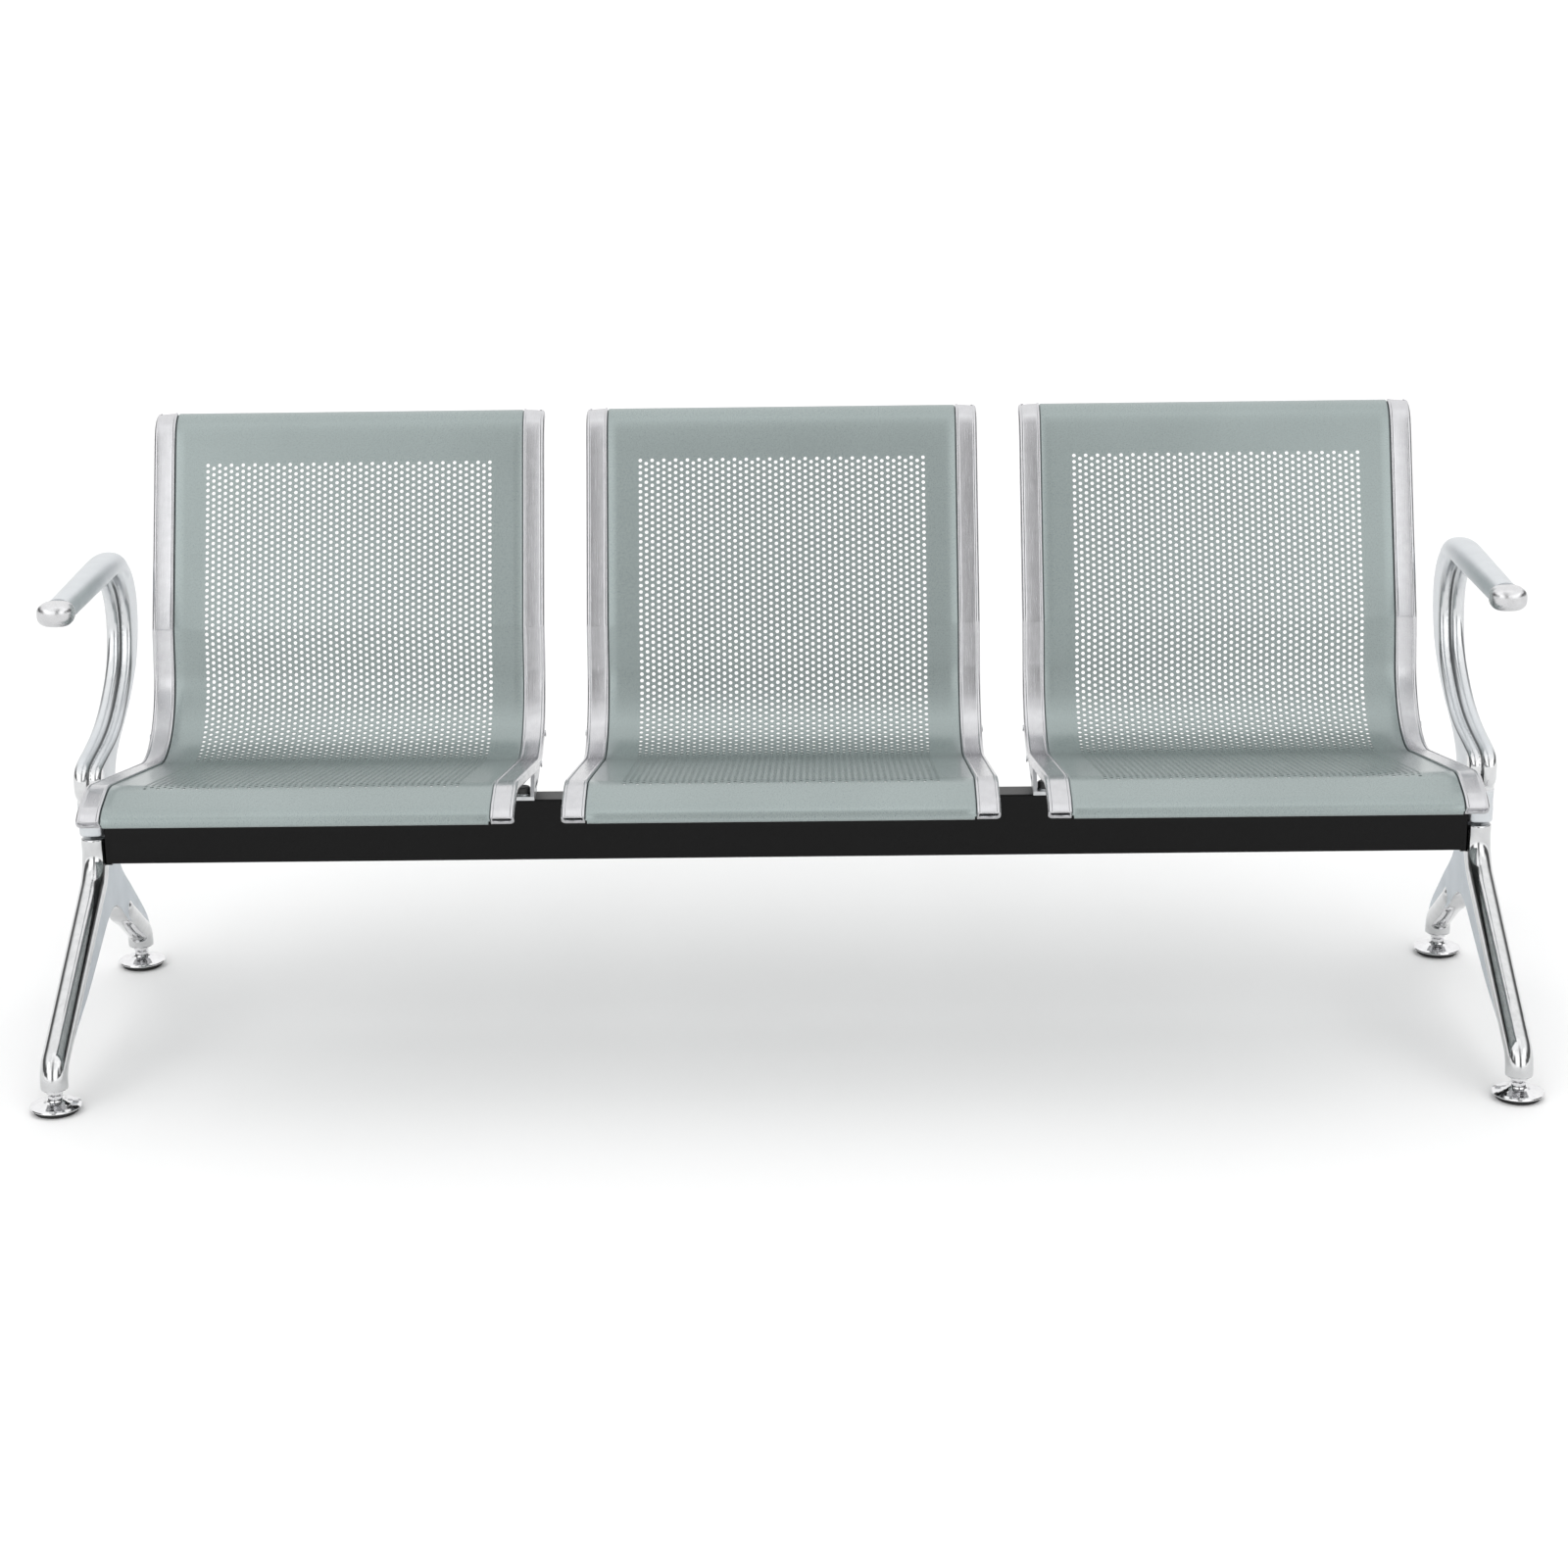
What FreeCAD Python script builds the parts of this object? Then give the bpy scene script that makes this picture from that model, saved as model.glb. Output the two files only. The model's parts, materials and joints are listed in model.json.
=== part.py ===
import FreeCAD, Part
import math
import os

V = FreeCAD.Vector

# Three-place beam seating: one rectangular steel beam on two cast legs, three
# bent sheet seats between cast side frames, an armrest over each leg and four
# screw-adjusted levelling glides.  Millimetres, +Z up, +X along the beam to
# the sitter's left, -Y towards the front.  Origin: bottom centre of the
# whole object, on the floor.

# ---------------------------------------------------------------- dimensions
seat_pitch = 585.0            # centre to centre of neighbouring seats
seat_width = 528.5            # over the two side frames of one seat
frame_width = 28.5            # width of a side frame, seen from the front
frame_depth = 13.0            # how far a frame reaches below the sheet's face
frame_proud = 2.0             # how far a frame stands above the sheet's face
frame_wall = 3.0
bead_width = 3.0              # raised bead along each edge of a frame
shoulder_r = 4.0              # rounded outer shoulder of a frame
bead_rise = 1.0
corner_r = 6.0
under_r = 6.0                 # rounded lower outer edge of a frame

sheet = 1.5                   # thickness of the seat sheet
flange = 12.0                 # turned-down side flange of the sheet
hem_r = 4.0
hem_len = 8.0
front_drop = 8.5              # straight end of a frame below the front curve
front_r = 3.5                 # the sheet's turn at its front edge
front_face = 5.6              # narrow face below that turn

leg_x = 905.0                 # centre plane of a leg and its armrest
leg_width = 34.5              # across the rounded spine of a leg
leg_top = 259.5               # upper end of a leg, below the armrest's base
web_thick = 24.0
foot_front_y = 17.0
foot_rear_y = 550.0
stub_bottom = 30.0

beam_y0 = 308.0               # front face of the beam
beam_depth = 40.0
beam_height = 82.0
beam_top = 309.0
beam_wall = 2.0
beam_half = 881.5             # half of the beam tube's length
bracket_half = leg_x - 16.5   # outer face of the end brackets

glide_r = 32.3                # chromed disc
pad_r = 27.5
stem_r = 6.0                  # M12 stem
stem_clear = 0.06             # radial running clearance of the screw thread
thread_pitch = 1.75
glide_down = 15.0             # how far a glide can be screwed out from here
glide_up = 2.4                # and how far in

arm_width = 42.4              # across the broadest part of an armrest
arm_neck = 35.0               # and just behind its end cap
arm_z0 = 573.0
arm_z1 = 603.0


# ------------------------------------------------------------------- helpers
class Path:
    """Planar path in (y, z) of straight runs and tangent arcs.  The left side
    of the direction of travel is the underside of the seat."""

    def __init__(self, y, z, heading):
        self.p = (y, z)
        self.h = math.radians(heading)
        self.segs = []

    def line(self, length):
        y, z = self.p
        q = (y + length * math.cos(self.h), z + length * math.sin(self.h))
        self.segs.append(("L", self.p, q, self.h))
        self.p = q
        return self

    def arc(self, r, turn):
        t = math.radians(turn)
        s = 1.0 if t > 0 else -1.0
        y, z = self.p
        cy = y - s * r * math.sin(self.h)
        cz = z + s * r * math.cos(self.h)
        a0 = math.atan2(z - cz, y - cy)
        self.segs.append(("A", (cy, cz), r, a0, t, s))
        a1 = a0 + t
        self.p = (cy + r * math.cos(a1), cz + r * math.sin(a1))
        self.h += t
        return self

    def edges(self, d, x):
        """Edges of the path moved by d to its left, in the plane X = x."""
        out = []
        for s in self.segs:
            if s[0] == "L":
                _, a, b, h = s
                ny, nz = -math.sin(h) * d, math.cos(h) * d
                out.append(Part.makeLine(V(x, a[0] + ny, a[1] + nz), V(x, b[0] + ny, b[1] + nz)))
            else:
                _, c, r, a0, t, sg = s
                rr = r - sg * d
                pts = [V(x, c[0] + rr * math.cos(a0 + t * k), c[1] + rr * math.sin(a0 + t * k)) for k in (0, 0.5, 1)]
                out.append(Part.Arc(pts[0], pts[1], pts[2]).toShape())
        return out

    def ends(self, d, x):
        e = self.edges(d, x)
        return e[0].valueAt(e[0].FirstParameter), e[-1].valueAt(e[-1].LastParameter)

    def band(self, d0, d1, x0, x1):
        """Solid between the offsets d0 and d1, from X = x0 to X = x1."""
        a = self.edges(d0, x0)
        b = self.edges(d1, x0)
        a0, a1 = self.ends(d0, x0)
        b0, b1 = self.ends(d1, x0)
        w = Part.Wire(Part.__sortEdges__(a + [Part.makeLine(a1, b1)] + b + [Part.makeLine(b0, a0)]))
        return Part.Face(w).extrude(V(x1 - x0, 0, 0))

    def point(self, s_len, d=0.0):
        """(y, z, heading) at arc length s_len along the path, offset d left."""
        rest = s_len
        for s in self.segs:
            if s[0] == "L":
                _, a, b, h = s
                ln = math.hypot(b[0] - a[0], b[1] - a[1])
                if rest <= ln:
                    return (a[0] + rest * math.cos(h) - d * math.sin(h), a[1] + rest * math.sin(h) + d * math.cos(h), h)
                rest -= ln
            else:
                _, c, r, a0, t, sg = s
                ln = r * abs(t)
                if rest <= ln:
                    a = a0 + t * rest / ln
                    h = a + sg * math.pi / 2
                    rr = r - sg * d
                    return (c[0] + rr * math.cos(a), c[1] + rr * math.sin(a), h)
                rest -= ln
        return None


def box(x0, x1, y0, y1, z0, z1):
    return Part.makeBox(x1 - x0, y1 - y0, z1 - z0, V(x0, y0, z0))


def cyl(p, axis, r, h):
    return Part.makeCylinder(r, h, V(*p), V(*axis))


def hexagon(p, axis, across, h):
    """Hexagonal prism, across its flats, centred on p, along axis."""
    r = across / math.sqrt(3.0)
    a = V(*axis)
    pts = [V(r * math.cos(math.radians(60 * k)), r * math.sin(math.radians(60 * k)), 0) for k in range(7)]
    s = Part.Face(Part.makePolygon(pts)).extrude(V(0, 0, h))
    s.Placement = FreeCAD.Placement(V(*p), FreeCAD.Rotation(V(0, 0, 1), a))
    return s


def revolve_z(profile, cx, cy):
    """Solid of revolution about a vertical axis from (r, z) points."""
    pts = [V(r, 0, z) for r, z in profile]
    pts.append(pts[0])
    f = Part.Face(Part.makePolygon(pts))
    s = f.revolve(V(0, 0, 0), V(0, 0, 1), 360)
    s.translate(V(cx, cy, 0))
    return s


def plate(outline, x0, x1):
    """Solid from a closed outline in (y, z).  Each item is a list of points;
    an item of two points is a straight edge, a longer one a smooth curve."""
    edges = []
    for run in outline:
        pts = [V(x0, y, z) for y, z in run]
        if len(pts) == 2:
            edges.append(Part.makeLine(pts[0], pts[1]))
        else:
            c = Part.BSplineCurve()
            c.interpolate(pts)
            edges.append(c.toShape())
    w = Part.Wire(Part.__sortEdges__(edges))
    return Part.Face(w).extrude(V(x1 - x0, 0, 0))


def tube_path(points, radii, x):
    """Wire in the plane X = x through (y, z) corners rounded by tangent arcs."""
    pts = [V(x, y, z) for y, z in points]
    edges = []
    start = pts[0]
    for i in range(1, len(pts) - 1):
        a, b, c = pts[i - 1], pts[i], pts[i + 1]
        u = (a - b).normalize()
        w = (c - b).normalize()
        ang = u.getAngle(w)
        t = radii[i - 1] / math.tan(ang / 2.0)
        p = b + u * t
        q = b + w * t
        bis = (u + w).normalize()
        m = b + bis * (radii[i - 1] / math.sin(ang / 2.0) - radii[i - 1])
        edges.append(Part.makeLine(start, p))
        edges.append(Part.Arc(p, m, q).toShape())
        start = q
    edges.append(Part.makeLine(start, pts[-1]))
    return Part.Wire(edges)


def rod(points, radii, x, r, rx=None):
    """Round bar, or oval bar with half width rx along X, along tube_path."""
    w = tube_path(points, radii, x)
    e = w.Edges[0]
    p0 = e.valueAt(e.FirstParameter)
    t0 = e.tangentAt(e.FirstParameter)
    if rx is None or abs(rx - r) < 1e-6:
        c = Part.Circle(p0, t0, r).toShape()
    else:
        ell = Part.Ellipse(V(0, 0, 0), max(rx, r), min(rx, r))
        c = ell.toShape()
        xdir = V(1, 0, 0)
        ydir = t0.cross(xdir)
        if rx >= r:
            m = FreeCAD.Matrix(xdir.x, ydir.x, t0.x, p0.x, xdir.y, ydir.y, t0.y, p0.y, xdir.z, ydir.z, t0.z, p0.z, 0, 0, 0, 1)
        else:
            m = FreeCAD.Matrix(ydir.x, -xdir.x, t0.x, p0.x, ydir.y, -xdir.y, t0.y, p0.y, ydir.z, -xdir.z, t0.z, p0.z, 0, 0, 0, 1)
        c = c.transformGeometry(m)
    return w.makePipeShell([Part.Wire(c)], True, False)


def soften(shape, radius, picker):
    """Round the picked edges, as a casting has them."""
    edges = [e for e in shape.Edges if picker(e)]
    try:
        s = shape.makeFillet(radius, edges)
        if s.isValid() and s.Volume > 0.5 * shape.Volume:
            return s
    except Exception:
        pass
    print("left sharp:", radius, len(edges))
    return shape


def mirror_x(s):
    return s.mirror(V(0, 0, 0), V(1, 0, 0))


def one_solid(s):
    s = s.removeSplitter()
    if len(s.Solids) != 1:
        print("not one solid:", len(s.Solids))
    return s.Solids[0]


nodes = {}

# ------------------------------------------------------------ seat side view
# Upper face of the sheet, from the rolled top edge down the back, round the
# hollow of the seat and over the front edge.
def seat_path(hems):
    if hems:
        p = Path(0, 0, 21.0)
        p.line(hem_len).arc(hem_r, 170.0)
    else:
        p = Path(0, 0, 191.0)
    p.arc(42.0, 50.0)
    p.arc(260.0, 6.6)
    p.line(237.86)
    p.arc(20.0, 12.4)
    p.line(55.35)
    p.arc(112.0, -91.2)
    p.line(289.13)
    p.arc(70.0, 27.2)
    p.line(28.53)
    p.arc(50.0, 24.0)
    if hems:
        # the sheet turns down more tightly than the frames beside it
        p.arc(front_r, 38.0).line(front_face).arc(hem_r, 127.0).line(hem_len)
    else:
        p.line(front_drop)
    return p


def placed(hems):
    """The same path, moved so that its top edge is at (642, 762)."""
    p = seat_path(hems)
    dy = 642.0
    dz = 762.0
    if hems:
        a = p.segs[1]
        ey = a[1][0] + a[2] * math.cos(a[3] + a[4])
        ez = a[1][1] + a[2] * math.sin(a[3] + a[4])
        dy -= ey
        dz -= ez
    for i, s in enumerate(p.segs):
        if s[0] == "L":
            p.segs[i] = ("L", (s[1][0] + dy, s[1][1] + dz), (s[2][0] + dy, s[2][1] + dz), s[3])
        else:
            p.segs[i] = ("A", (s[1][0] + dy, s[1][1] + dz)) + s[2:]
    p.p = (p.p[0] + dy, p.p[1] + dz)
    return p


sheet_path = placed(True)
face_path = placed(False)
lip_y, lip_z = face_path.p
print("front edge of the seat at", round(lip_y, 1), round(lip_z, 1))
face_len = sum(math.hypot(s[2][0] - s[1][0], s[2][1] - s[1][1]) if s[0] == "L" else s[2] * abs(s[4]) for s in face_path.segs)

# The turned-down flanges end where the sheet's front turn begins.
flange_path = placed(False)
flange_path.segs = flange_path.segs[:-1]

# A frame follows the sheet and ends a little above its front edge.
frame_path = placed(False)
fl = frame_path.segs[-1]
front_cut = 3.5
frame_path.segs[-1] = ("L", fl[1], (fl[2][0] - front_cut * math.cos(fl[3]), fl[2][1] - front_cut * math.sin(fl[3])), fl[3])

seat_centres = (-seat_pitch, 0.0, seat_pitch)
seat_names = ("left", "middle", "right")
half = seat_width / 2.0


def centres(edges):
    return [e.CenterOfMass for e in edges]


def side_frame(cx, side):
    """One cast side frame.  side = -1 is the frame at the lower X."""
    xo = cx + side * half                     # outer face
    xi = cx + side * (half - frame_width)     # face against the sheet
    lo, hi = min(xo, xi), max(xo, xi)
    s = frame_path.band(-frame_proud, frame_depth, lo, hi)
    # rounded outer shoulder, smaller rounding below it
    for d, r in ((-frame_proud, shoulder_r), (frame_depth, under_r)):
        s = soften(s, r, lambda e: any(e.CenterOfMass.distanceToPoint(m) < 0.3 for m in centres(frame_path.edges(d, xo))))
    # shallow recess between the two beads
    rx = (xi + side * bead_width, xo - side * (shoulder_r + 0.8))
    s = s.cut(frame_path.band(-frame_proud - 1.0, -frame_proud + bead_rise, min(rx), max(rx)))
    # the casting is a channel, open underneath, and solid behind its front end
    first = frame_path.segs[0]
    open_run = Path(0, 0, 0)
    open_run.segs = list(frame_path.segs[:-2])
    open_run.segs[0] = ("A", first[1], first[2], first[3] + math.radians(5.0), first[4] - math.radians(5.0), first[5])
    s = s.cut(open_run.band(frame_wall, frame_depth + 2.0, lo + frame_wall, hi - frame_wall))
    # blind slot in the front end, only a mark in the outermost castings
    arc = frame_path.segs[-2]
    end = frame_path.segs[-1]
    k = math.radians(10.0)
    tail = Path(0, 0, 0)
    tail.segs = [("A", arc[1], arc[2], arc[3] + arc[4] - k, k, arc[5]),
                 ("L", end[1], (end[2][0] + 3.0 * math.cos(end[3]), end[2][1] + 3.0 * math.sin(end[3])), end[3])]
    if abs(xo) > seat_pitch + 0.9 * half:
        mark = 1.5
        tail.segs = [("L", (end[1][0] + (end[2][0] - end[1][0]) - mark * math.cos(end[3]), end[1][1] + (end[2][1] - end[1][1]) - mark * math.sin(end[3])),
                      (end[2][0] + 3.0 * math.cos(end[3]), end[2][1] + 3.0 * math.sin(end[3])), end[3])]
    sx = (xi + side * 2.4, xo - side * 3.2)
    s = s.cut(tail.band(0.6, 7.4, min(sx), max(sx)))
    # rounded outer corner at the top
    ty, tz, th = frame_path.point(0.0)
    d = V(0, math.cos(th), math.sin(th))
    c = V(xo - side * corner_r, ty, tz) + d * corner_r
    blank = Part.makeBox(corner_r + 4.0, corner_r + 4.0, 60.0, V(0, 0, -30.0))
    blank = blank.cut(Part.makeCylinder(corner_r, 60.0, V(0, 0, -30.0)))
    blank = blank.common(Part.makeBox(corner_r + 4.0, corner_r + 4.0, 60.0, V(0, 0, -30.0)))
    ux = V(side, 0, 0)
    uy = d * -1.0
    uz = ux.cross(uy)
    m = FreeCAD.Matrix(ux.x, uy.x, uz.x, c.x, ux.y, uy.y, uz.y, c.y, ux.z, uy.z, uz.z, c.z, 0, 0, 0, 1)
    blank.Placement = FreeCAD.Placement(m)
    s = s.cut(blank)
    return one_solid(s)


for name, cx in zip(seat_names, seat_centres):
    xi = half - frame_width - 0.15
    s = sheet_path.band(0.0, sheet, cx - xi, cx + xi)
    s = s.fuse(flange_path.band(0.0, flange, cx - xi, cx - xi + sheet))
    s = s.fuse(flange_path.band(0.0, flange, cx + xi - sheet, cx + xi))
    nodes["seat_panel_" + name] = one_solid(s)
    nodes["seat_frame_%s_a" % name] = side_frame(cx, -1)
    nodes["seat_frame_%s_b" % name] = side_frame(cx, 1)

# Screws that hold the sheet's side flanges to the frames, from inside.
screws = []
screw_at = (60.0, 200.0, 330.0, 455.0, 560.0, 700.0, 820.0)
for cx in seat_centres:
    for side in (-1, 1):
        x_in = cx + side * (half - frame_width - 0.15 - sheet)
        for sl in screw_at:
            y, z, h = face_path.point(sl, 7.5)
            head = cyl((x_in, y, z), (-side, 0, 0), 3.5, 2.4)
            shank = cyl((x_in, y, z), (side, 0, 0), 2.0, sheet + 0.15 + frame_wall + 1.5)
            screws.append(head.fuse(shank))
for name, cx in zip(seat_names, seat_centres):
    for suffix, side in (("a", -1), ("b", 1)):
        x_in = cx + side * (half - frame_width - 0.15 - sheet)
        tools = []
        for sl in screw_at:
            y, z, h = face_path.point(sl, 7.5)
            tools.append(cyl((x_in, y, z), (side, 0, 0), 2.05, sheet + 0.15 + frame_wall + 1.0))
        cutter = Part.makeCompound(tools)
        nodes["seat_panel_" + name] = nodes["seat_panel_" + name].cut(cutter)
        k = "seat_frame_%s_%s" % (name, suffix)
        nodes[k] = nodes[k].cut(cutter)
nodes["panel_screws"] = Part.makeCompound(screws)

# ------------------------------------------------------------- seat brackets
# Under each frame a cast web with a long slot stands on the beam; its top
# edge lies in the frame's channel.
web_t = 5.0
foot_t = 5.0
foot_reach = 24.0             # how far a foot reaches from its web
bolt_off = 10.5               # bolt axis from the web
bolt_y = beam_y0 + 12.0
bolt_r = 4.0
web_gap = 4.0                 # web's upper edge below the sheet's face
brackets = {}
bolts, washers, caps, weld_nuts, bracket_screws = [], [], [], [], []
bend_c = face_path.segs[5][1]
bend_r = face_path.segs[5][2]


def bend_pt(deg, d):
    a = math.radians(deg)
    return (bend_c[0] + (bend_r + d) * math.cos(a), bend_c[1] + (bend_r + d) * math.sin(a))


seat_tilt = 90.0 + (math.degrees(face_path.segs[6][3]) - 180.0)
rear_top = bend_pt(-44.0, web_gap)
mid_top = bend_pt(-75.0, web_gap)
front_top = bend_pt(-180.0 + seat_tilt, web_gap)
hh = face_path.segs[6][3]
nose = (front_top[0] + 42.0 * math.cos(hh), front_top[1] + 42.0 * math.sin(hh))
z0 = beam_top
foot_y0 = beam_y0 - 3.0
foot_y1 = beam_y0 + beam_depth + 3.0
rear_low = bend_pt(-44.0, 22.0)


def bracket_web(lo, hi):
    def ln(a, b):
        return Part.makeLine(V(lo, a[0], a[1]), V(lo, b[0], b[1]))

    def ar(a, b, c):
        return Part.Arc(V(lo, a[0], a[1]), V(lo, b[0], b[1]), V(lo, c[0], c[1])).toShape()
    nose_low = (nose[0] - 2.0, nose[1] - 11.0)
    toe = (foot_y0, z0 + foot_t)
    heel = (foot_y1, z0 + foot_t)
    e = [ar(rear_top, mid_top, front_top), ln(front_top, nose), ln(nose, nose_low), ln(nose_low, toe), ln(toe, (foot_y0, z0)),
         ln((foot_y0, z0), (foot_y1, z0)), ln((foot_y1, z0), heel), ar(heel, (foot_y1 + 38.0, z0 + 11.5), (foot_y1 + 72.0, z0 + 26.0)),
         ln((foot_y1 + 72.0, z0 + 26.0), rear_low), ln(rear_low, rear_top)]
    return Part.Face(Part.Wire(e)).extrude(V(hi - lo, 0, 0))


for name, cx in zip(seat_names, seat_centres):
    for suffix, side in (("a", -1), ("b", 1)):
        # the web lies against the outer wall inside the channel
        x_out = cx + side * (half - frame_wall - 0.1)
        x_in = x_out - side * web_t
        lo, hi = min(x_out, x_in), max(x_out, x_in)
        web = bracket_web(lo, hi)
        # long slot in the web
        sy0, sy1, sz = foot_y0 + 24.0, foot_y1 + 6.0, z0 + 11.5
        web = web.cut(box(lo - 1, hi + 1, sy0, sy1, sz - 2.6, sz + 2.6))
        web = web.cut(cyl((lo - 1, sy0, sz), (1, 0, 0), 2.6, hi - lo + 2)).cut(cyl((lo - 1, sy1, sz), (1, 0, 0), 2.6, hi - lo + 2))
        # foot, turned inwards over the beam
        fx0 = x_in - side * foot_reach
        foot = box(min(x_out, fx0), max(x_out, fx0), foot_y0, foot_y1, z0, z0 + foot_t)
        foot = soften(foot, 8.0, lambda e: e.BoundBox.ZMax - e.BoundBox.ZMin > 4.0 and abs(e.BoundBox.XMin - fx0) < 0.01)
        s = web.fuse(foot)
        bx = x_in - side * bolt_off
        s = s.cut(cyl((bx, bolt_y, z0 - 1), (0, 0, 1), bolt_r + 0.4, foot_t + 2))
        # screws from the outer cheek of the frame into the web
        for ang in (-55.0, -92.0):
            py, pz = bend_pt(ang, web_gap + 4.0)
            xs = x_out + side * (frame_wall + 0.1)
            head = cyl((xs, py, pz), (side, 0, 0), 4.2, 1.6)
            shank = cyl((xs, py, pz), (-side, 0, 0), 2.5, frame_wall + 0.1 + web_t)
            bracket_screws.append(head.fuse(shank))
            s = s.cut(cyl((x_out + side * 1.0, py, pz), (-side, 0, 0), 2.55, web_t + 2.0))
            k2 = "seat_frame_%s_%s" % (name, suffix)
            nodes[k2] = nodes[k2].cut(cyl((x_out + side * (frame_wall + 2.0), py, pz), (-side, 0, 0), 2.55, frame_wall + 2.05))
        brackets["seat_bracket_%s_%s" % (name, suffix)] = one_solid(s)
        # bolt, washer, plastic cap and weld nut
        zt = z0 + foot_t
        washers.append(cyl((bx, bolt_y, zt), (0, 0, 1), 9.9, 1.6).cut(cyl((bx, bolt_y, zt - 1), (0, 0, 1), bolt_r + 0.3, 4)))
        bolt = cyl((bx, bolt_y, z0 - beam_wall - 12.0), (0, 0, 1), bolt_r, beam_wall + 12.0 + foot_t + 1.6)
        bolt = bolt.fuse(hexagon((bx, bolt_y, zt + 1.6), (0, 0, 1), 13.0, 5.3))
        bolts.append(bolt)
        cap = cyl((bx, bolt_y, zt + 1.6), (0, 0, 1), 9.2, 8.4)
        cap = soften(cap, 2.2, lambda e: e.BoundBox.ZMin > zt + 9.9)
        cap = cap.cut(hexagon((bx, bolt_y, zt + 1.0), (0, 0, 1), 13.2, 6.2))
        caps.append(cap)
        nut = hexagon((bx, bolt_y, z0 - beam_wall - 8.0), (0, 0, 1), 14.0, 8.0).cut(cyl((bx, bolt_y, z0 - beam_wall - 9), (0, 0, 1), bolt_r, 10))
        weld_nuts.append(nut)
nodes.update(brackets)
nodes["seat_bolts"] = Part.makeCompound(bolts)
nodes["seat_bolt_washers"] = Part.makeCompound(washers)
nodes["seat_bolt_caps"] = Part.makeCompound(caps)
nodes["beam_weld_nuts"] = Part.makeCompound(weld_nuts)
nodes["bracket_screws"] = Part.makeCompound(bracket_screws)

# ---------------------------------------------------------------------- beam
b = box(-beam_half, beam_half, beam_y0, beam_y0 + beam_depth, beam_top - beam_height, beam_top)
b = soften(b, 2.5, lambda e: abs(e.BoundBox.XMax - e.BoundBox.XMin) > 100)
bi = box(-beam_half - 1, beam_half + 1, beam_y0 + beam_wall, beam_y0 + beam_depth - beam_wall, beam_top - beam_height + beam_wall, beam_top - beam_wall)
bi = soften(bi, 1.0, lambda e: abs(e.BoundBox.XMax - e.BoundBox.XMin) > 100)
b = b.cut(bi)
for cx in seat_centres:
    for side in (-1, 1):
        bx = cx + side * (half - frame_wall - 0.1 - web_t - bolt_off)
        b = b.cut(cyl((bx, bolt_y, beam_top - beam_wall - 1), (0, 0, 1), bolt_r + 0.4, beam_wall + 2))
nodes["beam"] = one_solid(b)

# Black end bracket between the beam and a leg: a thick plate with a spigot
# that is welded into the tube.
bolt_pts = ((beam_y0 + 20.0, 242.0, 5.0), (beam_y0 + 20.0, 290.0, 5.0))
arm_screw = (beam_y0 + 66.0, 290.0, 4.0)
plate_y0 = beam_y0 + 4.0      # the plate's front lies behind the beam's
ebl = box(-bracket_half, -beam_half, plate_y0, beam_y0 + beam_depth + 3.0, beam_top - beam_height - 3.5, beam_top + 3.0)
ebl = soften(ebl, 4.0, lambda e: abs(e.BoundBox.XMax - e.BoundBox.XMin) > 5)
spig = box(-beam_half, -beam_half + 35.0, beam_y0 + beam_wall, beam_y0 + beam_depth - beam_wall, beam_top - beam_height + beam_wall, beam_top - beam_wall)
spig = soften(spig, 1.0, lambda e: abs(e.BoundBox.XMax - e.BoundBox.XMin) > 5)
ebl = ebl.fuse(spig)
for y, z, r in bolt_pts:
    ebl = ebl.cut(cyl((-bracket_half - 1, y, z), (1, 0, 0), r, 40.0))
nodes["beam_bracket_left"] = one_solid(ebl)
nodes["beam_bracket_right"] = mirror_x(nodes["beam_bracket_left"])

# ---------------------------------------------------------------------- legs
xl = -leg_x
spine_r = leg_width / 2.0
front_line = [(foot_front_y, stub_bottom), (foot_front_y, 52.9), (324.5, 211.7), (324.5, leg_top)]
spine = rod(front_line, (30.0, 55.0), xl, spine_r)
rear_line = [(foot_rear_y, stub_bottom), (foot_rear_y, 50.0), (446.0, 118.0)]
rear = rod(rear_line, (24.0,), xl, spine_r)
rear = rear.fuse(Part.makeSphere(spine_r, V(xl, 446.0, 118.0)))
web_outline = [
    [(20.0, 44.0), (39.0, 44.0)],
    [(39.0, 44.0), (59.0, 52.5), (77.0, 60.0), (121.0, 75.0), (180.0, 92.0), (218.0, 106.0), (262.0, 123.0), (300.0, 138.0),
     (332.0, 148.0), (358.0, 150.0), (384.0, 142.0), (412.0, 122.0), (446.0, 99.0)],
    [(446.0, 99.0), (550.0, 44.0)],
    [(550.0, 44.0), (564.0, 44.0)],
    [(564.0, 44.0), (560.0, 62.0), (543.0, 83.0), (500.0, 120.0), (455.0, 157.0), (418.0, 189.0), (402.0, 214.0), (398.0, leg_top)],
    [(398.0, leg_top), (324.0, leg_top)],
    [(324.0, leg_top), (324.0, 212.0)],
    [(324.0, 212.0), (20.0, 54.0)],
    [(20.0, 54.0), (20.0, 44.0)],
]
web = plate(web_outline, xl - web_thick / 2, xl + web_thick / 2)
leg = web.fuse(spine).fuse(rear)
# boss on the beam's side, against the end bracket, and the leg's rounded top
boss = box(xl, -bracket_half, 322.0, beam_y0 + beam_depth + 3.0, 216.0, leg_top)
boss = soften(boss, 3.5, lambda e: e.BoundBox.ZMax < 216.1 and e.BoundBox.YMax - e.BoundBox.YMin > 20 and e.BoundBox.XMax > -bracket_half - 0.1)
leg = leg.fuse(boss).removeSplitter()
leg = soften(leg, 2.0, lambda e: e.BoundBox.ZMin > leg_top - 0.01 and e.BoundBox.XMax < -bracket_half - 0.5)
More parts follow.
